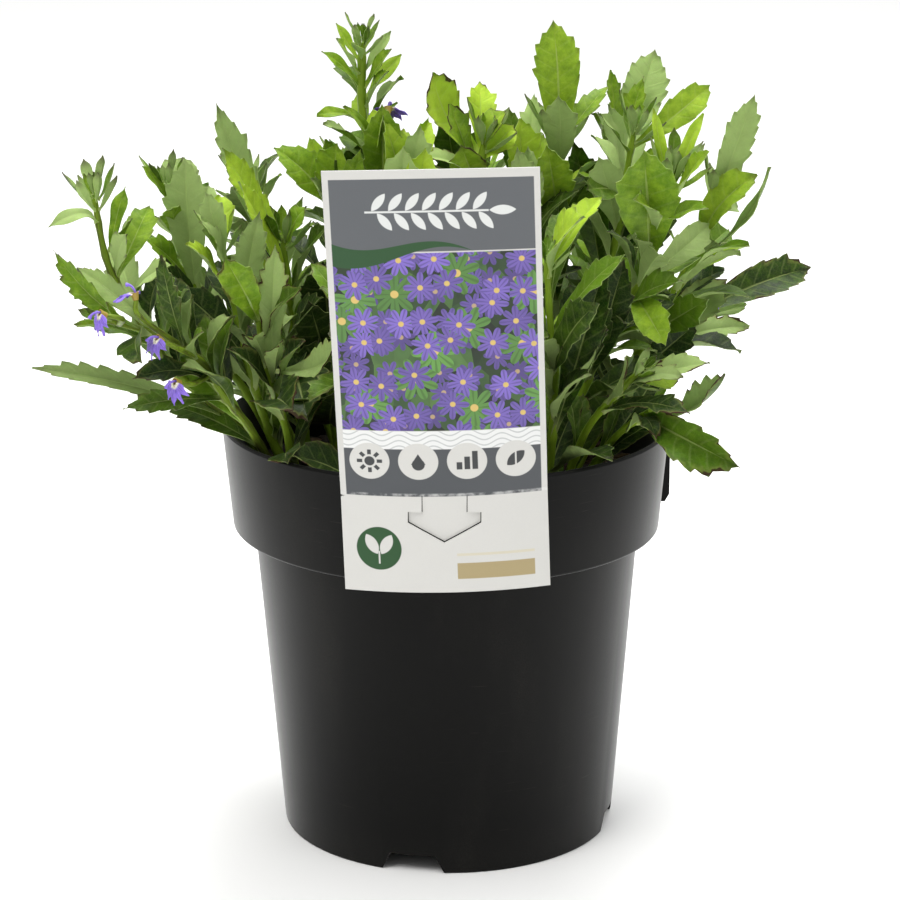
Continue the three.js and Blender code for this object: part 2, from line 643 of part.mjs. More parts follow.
// Pot: a moulded tub with a raised floor, a stepped rim, foot notches and hooks for a label.
function potBody() {
  const profile = [
    [0, floorRaise], [footRadius - 3.4, floorRaise], [footRadius - 3, 0], [footRadius, 0],
    [neckRadius, rimFoot.z], [rimFoot.radius, rimFoot.z], [rimRadius, potHeight - 0.8],
    [rimRadius - 0.8, potHeight], [rimRadius - wall + 0.4, potHeight],
    [rimFoot.radius - wall, rimFoot.z + wall], [neckRadius - wall, rimFoot.z + wall],
    [footRadius - wall + 0.4, floorRaise + wall], [0, floorRaise + wall],
  ].map(([r, z]) => new THREE.Vector2(r, z));
  const tub = new THREE.LatheGeometry(profile, potSides);
  tub.rotateX(Math.PI / 2);
  let body = solid(tub);
  const gapShape = new THREE.Shape([
    new THREE.Vector2(-notch.bottom / 2, -1), new THREE.Vector2(notch.bottom / 2, -1),
    new THREE.Vector2(notch.top / 2, notch.height), new THREE.Vector2(-notch.top / 2, notch.height),
  ]);
  for (let i = 0; i < notch.count; i += 1) {
    const cut = new THREE.ExtrudeGeometry(gapShape, { depth: 20, bevelEnabled: false });
    cut.rotateX(Math.PI / 2);
    cut.translate(0, 1 - footRadius + 10, 0);
    cut.rotateZ(radians(notch.first + (360 / notch.count) * i));
    body = body.subtract(solid(cut));
  }
  for (let i = 0; i < drain.count; i += 1) {
    const hole = new THREE.CylinderGeometry(drain.radius, drain.radius, 6, 8);
    hole.rotateX(Math.PI / 2);
    hole.translate(...around(drain.reach, drain.first + (360 / drain.count) * i, floorRaise + 1).toArray());
    body = body.subtract(solid(hole));
  }
  for (const azimuth of pocket.azimuths) body = body.add(pocketBody(azimuth));
  return body;
}

// The radius of the middle of the rim's wall at a height.
function midRim(z) {
  return mix(rimFoot.radius, rimRadius, (z - rimFoot.z) / (potHeight - rimFoot.z)) - wall / 2;
}

// One hook pocket: a small proud box with a bevelled head and an open slot down behind its face.
function pocketBody(azimuth) {
  const sunk = rimFoot.radius - 2;
  const face = rimRadius + pocket.proud;
  const side = new THREE.Shape([
    new THREE.Vector2(sunk, pocket.bottom), new THREE.Vector2(face - 2, pocket.bottom),
    new THREE.Vector2(face, pocket.bottom + 3), new THREE.Vector2(face, pocket.top - pocket.bevel),
    new THREE.Vector2(face - pocket.bevel, pocket.top), new THREE.Vector2(sunk, pocket.top),
  ]);
  const box = new THREE.ExtrudeGeometry(side, { depth: pocket.wide, bevelEnabled: false });
  box.rotateX(Math.PI / 2);
  box.translate(0, pocket.wide / 2, 0);
  const slot = new THREE.BoxGeometry(pocket.slot, pocket.wide - 4, 22);
  slot.translate(face - 1.5 * pocket.slot, 0, pocket.top - 10);
  const inner = new THREE.CylinderGeometry(midRim(180), midRim(120), 60, potSides);
  inner.rotateX(Math.PI / 2);
  inner.translate(0, 0, 150);
  const turn = radians(azimuth - 90);
  box.rotateZ(turn);
  slot.rotateZ(turn);
  return solid(box).subtract(solid(slot)).subtract(solid(inner));
}

function soilEdge(z) {
  const inStep = z > rimFoot.z + wall;
  const low = inStep ? rimFoot.z + wall : floorRaise + wall;
  const high = inStep ? potHeight : rimFoot.z + wall;
  const bottom = inStep ? rimFoot.radius - wall : footRadius - wall + 0.4;
  const top = inStep ? rimRadius - wall + 0.4 : neckRadius - wall;
  return mix(bottom, top, (z - low) / (high - low)) - soilGap - 0.2;
}

// Potting soil: fills the pot to a little under the rim, lumpy on top, with a hole for each stem.
function soilBody(feet) {
  const draw = seeded(5);
  const low = floorRaise + wall + soilGap;
  const step = rimFoot.z + wall;
  const stations = [
    [soilEdge(low), low], [soilEdge(step - 1), step + soilGap], [soilEdge(step + 1), step + soilGap],
    [soilEdge(soilTop), soilTop - 1], [66, soilTop], [44, soilTop + 1.5], [22, soilTop + 2.5],
  ];
  const rings = stations.map(([radius, z], level) => {
    const ring = [];
    for (let j = 0; j < soilSides; j += 1) {
      const bump = level > 3 ? soilBump * mix(-1, 1, draw()) : 0;
      ring.push(around(radius, (360 * j) / soilSides, z + bump));
    }
    return ring;
  });
  let body = loft(rings, { tip: point(0, 0, soilTop + 3) });
  for (const foot of feet) body = body.subtract(foot);
  return body;
}

// Label card: lies along the rim below, leans forward above, bowed where the rim bends it,
// with a tongue cut free in its lower part.
function cardPoint(across, z, depth) {
  const bendTop = Math.max(0, (z - card.crease) / (card.head - card.crease));
  const low = (z - card.foot) / (card.crease - card.foot);
  const y = z < card.crease
    ? mix(cardLean.foot, cardLean.crease, low)
    : mix(cardLean.crease, cardLean.head, bendTop ** 0.9);
  const bow = cardLean.bow * (1 - 0.85 * bendTop) * (across / (card.wide / 2)) ** 2;
  const shift = cardLean.shift * ((z - card.foot) / (card.head - card.foot));
  return point(across + shift, y + bow + depth, z + 0.02 * across);
}

function cardBody() {
  const columns = [-1, -0.6, -0.2, 0.2, 0.6, 1];
  const rows = [card.foot, 145, card.crease, 176, 200, 240, card.head];
  const rings = rows.map((z) => [
    ...columns.map((c) => cardPoint((c * card.wide) / 2, z, 0)),
    ...[...columns].reverse().map((c) => cardPoint((c * card.wide) / 2, z, card.thick)),
  ]);
  let body = loft(rings);
  const outline = [
    [arrow.neck / 2, arrow.top], [arrow.neck / 2, arrow.throat], [arrow.shoulder / 2, arrow.throat],
    [arrow.shoulder / 2, arrow.side], [0, arrow.tip], [-arrow.shoulder / 2, arrow.side],
    [-arrow.shoulder / 2, arrow.throat], [-arrow.neck / 2, arrow.throat], [-arrow.neck / 2, arrow.top],
  ];
  for (let i = 0; i + 1 < outline.length; i += 1) body = body.subtract(slitBody(outline[i], outline[i + 1]));
  return body;
}

function slitBody([x0, z0], [x1, z1]) {
  const long = Math.hypot(x1 - x0, z1 - z0) + arrow.slit * 0.8;
  const slit = new THREE.BoxGeometry(long, 12, arrow.slit);
  slit.rotateY(-Math.atan2(z1 - z0, x1 - x0));
  slit.translate((x0 + x1) / 2 + cardLean.shift * 0.2, cardLean.crease + 1, (z0 + z1) / 2);
  return solid(slit);
}

// A fan flower's five narrow petals: one thin sheet spread to one side of the mouth of its tube.
function fanBody(middle, facing) {
  const face = facing.clone().normalize();
  const down = square(face, point(0, 0, -1));
  const outline = [[2, -112]];
  for (let i = -2; i <= 2; i += 1) {
    const azimuth = petal.turn * i;
    if (i > -2) outline.push([petal.valley, azimuth - petal.turn / 2]);
    outline.push([petal.long * 0.72, azimuth - petal.half], [petal.long, azimuth]);
    outline.push([petal.long * 0.72, azimuth + petal.half]);
  }
  outline.push([2, 112]);
  const flat = outline.map(([r, azimuth]) => around(r, azimuth, 0));
  const shape = new THREE.Shape(flat.map(({ x, y }) => new THREE.Vector2(x, y)));
  const sheet = new THREE.ExtrudeGeometry(shape, { depth: petal.thick, bevelEnabled: false });
  const side = down.clone().cross(face);
  const place = sheet.attributes.position;
  for (let i = 0; i < place.count; i += 1) {
    const [x, y, z] = [place.getX(i), place.getY(i), place.getZ(i)];
    const droop = petal.droop * ((x * x + y * y) / petal.long ** 2);
    const spot = middle.clone().addScaledVector(side, x).addScaledVector(down, -y);
    place.setXYZ(i, ...spot.addScaledVector(face, z - droop).toArray());
  }
  return solid(sheet);
}

const colours = { leaf: 0x5d8c2c, soil: 0x241a12, pot: 0x1c1c1e, card: 0xf2f1ee, petal: 0x8a66e0 };
const finish = (color, roughness) => new THREE.MeshStandardMaterial({ color, roughness, metalness: 0 });

const plant = new THREE.Group();
plant.name = 'potted_fan_flower';

function place(name, body, material) {
  const mesh = new THREE.Mesh(geometryOf(body), material);
  mesh.name = name;
  plant.add(mesh);
}

const pot = potBody();
const label = cardBody();
const grown = stems.map((stem, n) => ({ ...stem, path: rooted(stem.path), bodies: [], seed: n + 1 }));
const feet = grown.map((stem) => footHole(stem.path));
for (const stem of grown) stem.bodies.push(stemBody(stem));
const soil = soilBody(feet);

// Everything that a new blade keeps clear of, apart from its own stem.
const taken = [{ owner: 'pot', body: pot }, { owner: 'label', body: label }, { owner: 'soil', body: soil }];
for (const stem of grown) stem.bodies.forEach((body) => taken.push({ owner: stem.name, body }));
for (const item of taken) item.box = item.body.boundingBox();

function apart(a, b) {
  return [0, 1, 2].some((k) => a.max[k] < b.min[k] || b.max[k] < a.min[k]);
}

function meets(body, item) {
  return !apart(body.boundingBox(), item.box) && !body.intersect(item.body).isEmpty();
}

// Whether a blade, grown by the gap all round, is clear of everything on other stems.
function clear(blade, owner) {
  const body = leafBody(blade, gap);
  return !taken.some((item) => item.owner !== owner && meets(body, item));
}

// Whether a blade crosses no other blade of its own stem.
function loose(blade, siblings) {
  const body = leafBody(blade, 0);
  return !siblings.some((item) => meets(body, item));
}

const fans = [];
blooms.forEach(([owner, where, at, facing], n) => {
  const stem = grown.find((s) => s.name === owner);
  const middle = point(...at);
  const face = point(...facing).normalize();
  const fan = fanBody(middle, face);
  const mouth = middle.clone().addScaledVector(face, -2.6);
  const path = [pathPoint(stem.path, where), middle.clone().addScaledVector(face, -9), mouth];
  const tube = shootBody(path, 1.5);
  const name = `bloom_${n + 1}`;
  fans.push({ name, body: fan });
  taken.push({ owner: name, body: fan, box: fan.boundingBox() });
  taken.push({ owner, body: tube, box: tube.boundingBox() });
  stem.bodies.push(tube);
});

for (const stem of grown) {
  const siblings = [];
  for (const blade of bladesOf(stem, stem.seed)) {
    const ways = bends.map((bend) => bent(blade, bend)).filter((way) => clear(way, stem.name));
    const best = ways.find((way) => loose(way, siblings)) ?? ways[0];
    if (!best) continue;
    const body = leafBody(best, 0);
    const item = { owner: stem.name, body, box: body.boundingBox() };
    stem.bodies.push(body);
    siblings.push(item);
    taken.push(item);
  }
}

place('pot', pot, finish(colours.pot, 0.45));
place('soil', soil, finish(colours.soil, 0.95));
place('label', label, finish(colours.card, 0.5));
for (const stem of grown) place(stem.name, fuse(stem.bodies), finish(colours.leaf, 0.5));
for (const fan of fans) place(fan.name, fan.body, finish(colours.petal, 0.6));

export default plant;
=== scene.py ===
import functools
import math

import bmesh
import bpy
import numpy as np
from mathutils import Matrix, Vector, noise
from mathutils.kdtree import KDTree


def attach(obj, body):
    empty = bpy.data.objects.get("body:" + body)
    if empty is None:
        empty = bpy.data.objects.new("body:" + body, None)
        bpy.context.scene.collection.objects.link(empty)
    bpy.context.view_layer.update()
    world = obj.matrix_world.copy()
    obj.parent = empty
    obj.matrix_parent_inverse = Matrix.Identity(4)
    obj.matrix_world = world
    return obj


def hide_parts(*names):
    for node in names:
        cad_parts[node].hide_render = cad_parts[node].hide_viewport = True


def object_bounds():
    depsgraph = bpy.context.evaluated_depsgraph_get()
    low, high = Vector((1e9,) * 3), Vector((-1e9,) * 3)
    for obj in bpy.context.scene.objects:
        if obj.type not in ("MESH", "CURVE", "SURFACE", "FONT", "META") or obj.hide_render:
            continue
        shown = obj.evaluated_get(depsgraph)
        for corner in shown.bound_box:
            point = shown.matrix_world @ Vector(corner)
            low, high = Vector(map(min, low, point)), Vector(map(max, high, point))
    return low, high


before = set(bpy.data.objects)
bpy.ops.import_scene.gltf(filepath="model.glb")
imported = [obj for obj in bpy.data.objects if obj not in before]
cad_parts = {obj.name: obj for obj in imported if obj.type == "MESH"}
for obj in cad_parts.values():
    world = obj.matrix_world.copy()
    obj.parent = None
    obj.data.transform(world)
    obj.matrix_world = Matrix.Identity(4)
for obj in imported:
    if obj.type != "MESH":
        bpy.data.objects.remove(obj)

bl_info = {
    "name": "Potted fan flower",
    "version": (1, 0, 0),
    "blender": (4, 5, 0),
    "location": "View3D > Sidebar > Fan flower",
    "description": "Fine leaves, petals, label, soil and pot for a potted fan flower, around its solids",
    "category": "Add Mesh",
}

# The plant's own sums are in millimetres, as in the part's source, and meshes are in metres.
MM = 0.001
# Where each run of repeatable draws starts; the first two count on from stem to stem.
SEEDS = {"added": 301, "extra": 101, "stem": 500, "bloom": 900, "soil": 61}
BODY = "root"
CAD_BOX = [list(corner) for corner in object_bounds()]

# Growth, as in the part's source.
STEM_RADIUS = 1.9
STEM_TAPER = 0.6
STEM_DEPTH = 14
ROOT_SUNK = 0.4
BUD_START = 0.93
BUD_RINGS = ((-6, 2.2), (-2.5, 2.7), (1.5, 2.2), (4, 1.3))
CAD_SIDES = 5
GOLDEN = 137.5
PLACED_WIDER = 1.2
WIDEST = 0.66
SEEN = np.array((0, -0.8, 0.6))
VIEWER = np.array((0, -0.96, 0.28))
STALK_PULL = 0.4
SPIRAL_START = np.array((1, 0.2, 0))
RING_START = np.array((0.3, -1, 0.1))
BENDS = (
    (0, 0, 1), (10, 0, 1), (-10, 0, 1), (0, 10, 1), (0, -10, 1), (12, 12, 0.92), (-12, 12, 0.92),
    (14, -12, 0.85), (-14, -12, 0.85), (0, 20, 0.8), (24, 0, 0.75), (-24, 0, 0.75), (0, 0, 0.6),
)

# Finer leaves: how many more small ones than a stem's extra, the places tried for each and its
# clearance, how many bends an added leaf tries and its clearance, and how far small leaves stay
# inside the box of the solids and above the soil. A small leaf's tip is no lower than LOWEST_TIP,
# above FRONT_RIM's z where it is before its y, and not in front of BY_LABEL's y within its x.
GAP_FILL = 1.7
GAP_TRIES = 9
GAP_CLEAR = 4.6
ADDED_BENDS = 9
ADDED_CLEAR = 3
ROOM_INSET = 3
LEAF_ABOVE_SOIL = 7
LOWEST_TIP = 178
FRONT_RIM = {"y": -35, "z": 215}
BY_LABEL = {"x": 48, "y": -86}

# Shoots and flower tubes: rings along them and sides round them.
SHOOT_GRID = (72, 12)
TUBE_GRID = (16, 10)

# Blades: rows of a plain one, the toothed stretch, the rise of a tooth row by row, and columns across.
PLAIN_ROWS = 13
TOOTHED = (0.4, 0.93)
TOOTH_RISE = (0, 0.3, 0.68, 1)
LEAF_COLUMNS = (-1, -0.74, -0.42, -0.14, 0, 0.14, 0.42, 0.74, 1)
BUD_COLUMNS = (-1, -0.5, 0, 0.5, 1)
FOLD_DEEPER = 1.4
# A tone for each look letter; d, given to leaves that sit in shade, is partly painted shade.
LOOK_TONES = {"l": 0.12, "m": 0.42, "d": 0.82, "g": 0.5}
DRAWN_LOOKS = "mgmdgldmdm"

# Flowers: the angle between petals, rows and columns of a petal, half its thickness, the tube's radius
# and the section of its mouth as (radius, height).
PETAL_TURN = 34
PETAL_GRID = (17, 9)
PETAL_HALF = 0.13
TUBE_RADIUS = 1.35
TUBE_MOUTH = ((1.0, -2.8), (1.35, -1.2), (1.8, 0.1), (1.5, 0.1), (1.05, -1.2), (0.7, -2.8))

# Soil: sides and rings of its top, lumps as (rise, size, layer of noise), a chip's sides and its rings
# as (lift, width), the share of pale chips, and the hints for the first side of a rod and for up.
SOIL_SIDES = 150
SOIL_RINGS = 62
SOIL_LUMPS = ((2.2, 15, 3), (1.3, 6, 7), (0.9, 2.6, 1), (0.5, 1.3, 5))
CHIP_SIDES = 7
CHIP_RINGS = ((-1, 0.55), (-0.45, 1), (0.5, 0.95), (1, 0.5))
PALE_SHARE = 0.045
ROD_START = np.array((0.3, -1, 0.12))
UP = np.array((0, 0, 1.0))

# Leafy stems, with the paths and leaves of the part's source, in millimetres.
# path: from the soil to the growing tip. placed: leaves, as (where, tip x, y, z, width, arch).
# whorl: (how many, from, to, longest, width). bud: (young leaves, their length).
# looks: one letter for each placed leaf: l lime, m mid green, d dark (partly painted shade, given to
# leaves that sit in shade), g its grey underside shows; a capital turns its broad side to the front, and
# in a string of its own an s browns its margins.
# added: finer leaves that the solids leave out, like placed ones, each with its look.
# slim, fold, twist: placed leaves, by number, that look narrower, more folded or more twisted than
# their solids: a share of the width, the slope of the halves, and degrees.
# dusk: how purple the young growth is. scorch: how far old margins have browned. extra: how many small
# leaves fill the stem's gaps. USUAL is what a stem has where it says nothing of its own.
USUAL = {
    "placed": (), "looks": "", "slim": {}, "fold": {}, "twist": {}, "added": (), "whorl": (0, 0, 0, 0, 0),
    "dusk": 0.2, "scorch": 0, "extra": 8,
}
STEMS = {
    "stem_left_rosette": {
        "path": ((-64, -16, 144), (-85, -30, 176), (-103, -44, 196), (-115, -54, 218),
                 (-127, -58, 242), (-132, -54, 267)),
        "placed": (
            (0.93, -147, -75, 261, 5, 0.25), (0.8, -119, -70, 257, 8, 0.05), (0.8, -113, -38, 262, 9, 0.04),
            (0.95, -128, -50, 273, 6, 0), (0.86, -121, -50, 271, 5, 0), (0.35, -156, -66, 205, 10, 0.1),
            (0.72, -104, -84, 244, 9, 0.1), (0.55, -96, -74, 232, 10, 0.1), (0.62, -128, -22, 246, 10, 0.1),
        ),
        "bud": (7, 17), "slim": {5: 0.68}, "looks": "ggmmmggmg", "dusk": 0.9, "extra": 6,
    },
    "stem_left_low": {
        "path": ((-60, -30, 144), (-70, -37, 162), (-77, -45, 177), (-85, -55, 191),
                 (-93, -64, 207), (-106, -71, 218), (-126, -77, 226)),
        "placed": (
            (0.9, -144, -90, 251, 9, 0.12), (0.84, -141, -76, 240, 7, 0.1), (0.78, -105, -84, 252, 9, 0.1),
            (0.5, -98, -86, 211, 8, 0.1), (0.62, -113, -92, 205, 8, 0.15), (0.56, -121, -78, 193, 6, 0.1),
            (0.88, -112, -98, 215, 9, 0.2), (0.7, -104, -46, 236, 9, 0.1),
        ),
        "slim": {0: 0.7, 2: 0.7}, "bud": (3, 14), "looks": "mgdgdmdd", "dusk": 0.9, "scorch": 0.3,
    },
    "stem_left_tall": {
        "path": ((-64, 2, 144), (-76, -4, 172), (-87, -8, 191), (-95, -12, 206),
                 (-99, -14, 224), (-106, -13, 246), (-109, -10, 262)),
        "added": ((0.68, -101, -20, 276, 13, 0.03, "G"),),
        "placed": (
            (0.95, -117, -20, 273, 5, 0.05), (0.93, -103, 0, 273, 14, 0.03), (0.8, -94, 8, 261, 11, 0.03),
            (0.72, -116, -30, 247, 8, 0.05), (0.62, -113, -36, 238, 7, 0.1), (0.5, -118, 6, 226, 10, 0.15),
        ),
        "whorl": (3, 0.4, 0.66, 36, 11), "bud": (6, 16), "looks": "mGgmdm", "dusk": 0.6, "extra": 7,
    },
    "stem_left_inner": {
        "path": ((-54, -28, 144), (-66, -29, 161), (-72, -30, 178), (-77, -32, 196),
                 (-81, -34, 216), (-84, -33, 232), (-87, -32, 246)),
        "placed": (
            (0.9, -91, -42, 267, 8, 0.04), (0.86, -93, -47, 261, 8, 0.04), (0.78, -98, -52, 250, 10, 0.05),
            (0.66, -79, -48, 264, 9, 0.04), (0.95, -88, -20, 262, 8, 0.04), (0.6, -104, -36, 229, 11, 0.12),
            (0.5, -88, -58, 222, 9, 0.12),
        ),
        "whorl": (3, 0.34, 0.6, 38, 12), "bud": (5, 15), "looks": "gglGldd", "dusk": 0.4,
    },
    "stem_left_back": {
        "path": ((-54, 8, 144), (-61, 8, 173), (-63, 6, 198), (-63, 4, 219), (-65, 2, 240)),
        "added": ((0.5, -54, -60, 186, 21, 0.08, "Ds"), (0.35, -51, -14, 203, 15, 0.05, "D")),
        "placed": (
            (0.86, -88, 0, 293, 10, -0.05), (0.8, -85, -12, 279, 11, 0.03), (0.7, -79, -18, 267, 11, 0.03),
            (0.95, -56, -2, 254, 8, 0.05), (0.75, -47, -18, 250, 9, 0.05), (0.55, -78, -20, 228, 10, 0.1),
            (0.5, -50, -18, 222, 12, 0.1),
        ),
        "whorl": (3, 0.36, 0.7, 40, 13), "bud": (5, 20), "looks": "gllmdmd", "extra": 9,
    },
    "stem_centre_left": {
        "path": ((-44, 21, 144), (-48, 20, 178), (-47, 18, 211), (-45, 16, 236), (-44, 14, 256)),
        "added": (
            (0.5, -49, -10, 233, 16, 0.05, "D"), (0.4, -54, -20, 220, 15, 0.05, "D"),
            (0.3, -44, -46, 189, 17, 0.08, "D"), (0.8, -42, 2, 280, 12, 0.05, "D"),
            (0.7, -34, -8, 276, 11, 0.05, "M"),
        ),
        "placed": (
            (0.9, -68, 10, 275, 13, 0.08), (0.95, -55, 20, 277, 7, 0), (0.92, -48, 10, 278, 8, 0),
            (0.88, -41, 4, 280, 15, 0.03), (0.8, -53, -2, 265, 9, 0.05), (0.7, -30, 2, 262, 11, 0.1),
        ),
        "whorl": (2, 0.45, 0.8, 36, 12), "bud": (5, 16), "looks": "mmmmgd", "dusk": 0.3,
    },
    "stem_left_front": {
        "path": ((-50, -41, 144), (-59, -46, 161), (-62, -50, 177), (-66, -56, 193),
                 (-70, -60, 210), (-71, -60, 225)),
        "placed": (
            (0.95, -82, -76, 249, 11, 0.05), (0.7, -64, -66, 252, 8, 0.04), (0.75, -43, -86, 219, 10, -0.2),
            (0.55, -52, -88, 200, 15, 0.15), (0.35, -61, -72, 170, 12, 0.15), (0.6, -82, -70, 214, 9, 0.1),
            (0.85, -56, -72, 238, 9, 0.06),
        ),
        "bud": (5, 15), "looks": "MGgdddd", "dusk": 0.4, "scorch": 0.8, "extra": 9,
    },
    "stem_tall": {
        "path": ((-18, 10, 144), (-21, 8, 181), (-23, 4, 215), (-25, 0, 248), (-28, -4, 272),
                 (-33, -4, 290), (-33, -4, 318)),
        "added": ((0.6, -25, -18, 296, 14, 0.05, "M"),),
        "placed": (
            (0.82, -50, -20, 293, 5, 0.12), (0.9, -48, -10, 316, 4, 0.05), (0.93, -42, -18, 322, 5, 0),
            (0.95, -43, 0, 325, 4, 0), (0.97, -29, 5, 323, 4, 0), (0.93, -22, 0, 322, 4, 0),
            (0.9, -22, -12, 317, 6, 0), (0.88, -18, 6, 312, 5, 0), (0.86, -23, -14, 309, 6, 0.05),
            (0.96, -35, -16, 320, 5, 0), (0.7, -24, -14, 294, 11, 0.05), (0.74, -38, -18, 300, 5, 0.1),
            (0.66, -44, 8, 280, 10, 0.1), (0.6, -36, -24, 262, 12, 0.1),
        ),
        "bud": (6, 12), "looks": "mmmmmgmmmmlmdd", "dusk": 0.3, "extra": 9,
    },
    "stem_centre_curled": {
        "path": ((7, 0, 144), (8, 0, 203), (9, 0, 240), (12, -2, 264), (14, -4, 280)),
        "added": ((0.9, 27, 0, 287, 10, 0.05, "L"), (0.75, 5, -18, 280, 11, 0.05, "M")),
        "placed": (
            (0.9, -5, -8, 307, 15, -0.16), (0.93, 22, -4, 292, 11, 0.12), (0.9, 18, 8, 301, 9, 0.03),
            (0.8, 1, -8, 295, 8, 0.03), (0.8, -10, -22, 277, 6, 0.1), (0.7, 26, -16, 262, 12, 0.1),
        ),
        "whorl": (2, 0.45, 0.75, 38, 13), "bud": (5, 18), "looks": "lmlmgd", "scorch": 0.5,
    },
    "stem_centre_front": {
        "path": ((-9, -15, 144), (-12, -15, 207), (-15, -14, 243), (-18, -14, 262)),
        "added": (
            (0.8, -16, -20, 291, 9, 0.05, "G"), (0.7, -16, -26, 283, 13, 0.05, "L"),
            (0.75, -8, -18, 279, 11, 0.05, "G"),
        ),
        "placed": (
            (0.85, -28, -14, 290, 11, 0.05), (0.9, -13, -18, 291, 8, 0.03), (0.95, -22, 0, 284, 7, 0),
            (0.8, -17, -30, 282, 12, 0.06), (0.88, -7, 0, 289, 7, 0.03),
        ),
        "whorl": (2, 0.5, 0.78, 40, 13), "bud": (4, 15), "looks": "mllgl",
    },
    "stem_centre_right": {
        "path": ((26, 6, 144), (29, 5, 194), (28, 6, 230), (30, 8, 257)),
        "added": ((0.8, 31, -6, 278, 10, 0.05, "G"), (0.9, 24, 12, 290, 9, 0.05, "D")),
        "placed": (
            (0.85, 28, 0, 288, 13, 0.03), (0.8, 28, -14, 278, 9, 0.03), (0.92, 37, 12, 280, 9, 0.03),
            (0.95, 34, 26, 294, 7, 0), (0.75, 44, -6, 264, 10, 0.1),
        ),
        "whorl": (2, 0.5, 0.7, 38, 13), "bud": (5, 17), "looks": "lgmgd",
    },
    "stem_right_tall": {
        "path": ((39, 20, 144), (43, 22, 190), (44, 22, 227), (44, 20, 256), (42, 18, 277)),
        "added": (
            (0.7, 38, -6, 284, 12, 0.05, "M"), (0.6, 56, 36, 265, 13, 0.08, "M"),
            (0.5, 44, 0, 260, 12, 0.08, "D"),
        ),
        "placed": (
            (0.92, 41, 14, 324, 17, 0.02), (0.97, 51, 24, 312, 4, 0), (0.98, 58, 34, 307, 5, 0),
            (0.93, 64, 40, 294, 7, 0.05), (0.86, 43, 4, 296, 12, 0.03), (0.75, 37, 0, 268, 6, 0.05),
            (0.7, 54, 4, 262, 11, 0.08),
        ),
        "whorl": (2, 0.45, 0.65, 40, 13), "bud": (5, 22), "slim": {0: 0.84}, "looks": "MmmmGdd",
    },
    "stem_right_pale": {
        "path": ((49, 40, 144), (58, 44, 180), (63, 46, 209), (66, 48, 238), (68, 50, 265)),
        "added": ((0.8, 59, 34, 290, 13, 0.05, "g"), (0.62, 50, 28, 274, 12, 0.08, "D")),
        "placed": (
            (0.93, 84, 60, 306, 14, 0.03), (0.9, 78, 48, 297, 7, 0.02), (0.95, 66, 42, 300, 6, 0.02),
            (0.96, 71, 62, 290, 8, 0.05), (0.85, 60, 28, 286, 10, 0.05), (0.75, 84, 34, 262, 12, 0.1),
        ),
        "whorl": (2, 0.45, 0.65, 38, 13), "bud": (5, 18), "looks": "GmmdgD",
    },
    "stem_right_front": {
        "path": ((41, -19, 144), (49, -20, 170), (55, -22, 190), (63, -26, 208), (73, -30, 227),
                 (80, -33, 246), (85, -34, 271)),
        "added": ((0.42, 67, -44, 241, 11, 0.08, "D"), (0.7, 82, -58, 212, 10, 0.12, "L")),
        "placed": (
            (0.8, 73, -52, 285, 23, 0.04), (0.97, 78, -30, 297, 4, 0), (0.94, 96, -34, 296, 5, 0.05),
            (0.9, 97, -46, 284, 6, 0.03), (0.85, 71, -60, 270, 7, 0.05), (0.88, 97, -52, 264, 8, 0.1),
            (0.74, 102, -14, 250, 10, 0.1), (0.62, 88, -52, 236, 9, 0.1), (0.5, 52, -52, 232, 11, 0.1),
        ),
        "whorl": (2, 0.35, 0.6, 38, 12), "bud": (7, 20), "slim": {0: 0.82}, "looks": "MmmmmmgmD",
        "extra": 9,
    },
    "stem_right_branch": {
        "path": ((52, 9, 144), (68, 8, 177), (82, 4, 203), (94, 0, 228), (100, -2, 242),
                 (104, -4, 259)),
        "added": ((0.42, 111, 12, 221, 13, 0.12, "Gs"), (0.36, 98, -6, 208, 11, 0.1, "D")),
        "placed": (
            (0.88, 118, -10, 299, 10, 0.04), (0.8, 119, -16, 269, 12, 0.15), (0.7, 123, -22, 273, 4, -0.12),
            (0.6, 108, -32, 252, 5, 0.1), (0.93, 114, 4, 252, 7, 0.1), (0.66, 112, 20, 240, 11, 0.1),
            (0.5, 100, -26, 222, 10, 0.1),
        ),
        "whorl": (3, 0.35, 0.6, 36, 12), "bud": (5, 18), "looks": "GmgmgmM", "extra": 7,
    },
    "stem_right_long_leaf": {
        "path": ((56, 28, 144), (74, 40, 169), (87, 50, 186), (101, 58, 199)),
        "placed": (
            (0.9, 153.5, 80, 212, 12, 0.06), (0.95, 124, 62, 203, 8, -0.1), (0.7, 124, 46, 194, 9, 0.1),
            (0.85, 108, 76, 222, 10, 0.06), (0.6, 84, 66, 204, 10, 0.1), (0.65, 98, 34, 214, 11, 0.08),
        ),
        "bud": (4, 14), "looks": "dggmmm", "dusk": 0.3, "scorch": 0.7, "extra": 6,
    },
    "stem_right_lime": {
        "path": ((36, -47, 144), (39, -51, 162), (40, -56, 182), (40, -60, 203), (38, -62, 226),
                 (37, -62, 246)),
        "added": ((0.45, 58, -70, 246, 12, 0.06, "D"),),
        "placed": (
            (0.93, 50, -76, 265, 17, 0.1), (0.95, 57, -52, 268, 8, 0.04), (0.75, 64, -80, 252, 8, 0.08),
            (0.65, 54, -82, 234, 14, 0.08), (0.5, 52, -84, 208, 9, 0.08), (0.55, 50, -88, 219, 9, -0.1),
            (0.85, 44, -42, 262, 10, 0.06),
        ),
        "whorl": (3, 0.3, 0.7, 40, 13), "bud": (4, 14), "looks": "llmdddd", "dusk": 0.1, "extra": 9,
    },
    "stem_right_middle": {
        "path": ((42, 4, 144), (56, 8, 190), (66, 10, 235), (70, 10, 262), (73, 10, 281)),
        "added": ((0.66, 59, -4, 273, 12, 0.05, "G"), (0.5, 82, 30, 270, 13, 0.08, "D")),
        "placed": (
            (0.92, 103, 14, 299, 11, 0.1), (0.9, 59, 0, 290, 5, 0.02), (0.8, 86, -4, 276, 10, 0.06),
            (0.75, 54, -8, 262, 11, 0.08), (0.68, 92, 22, 252, 12, 0.1),
        ),
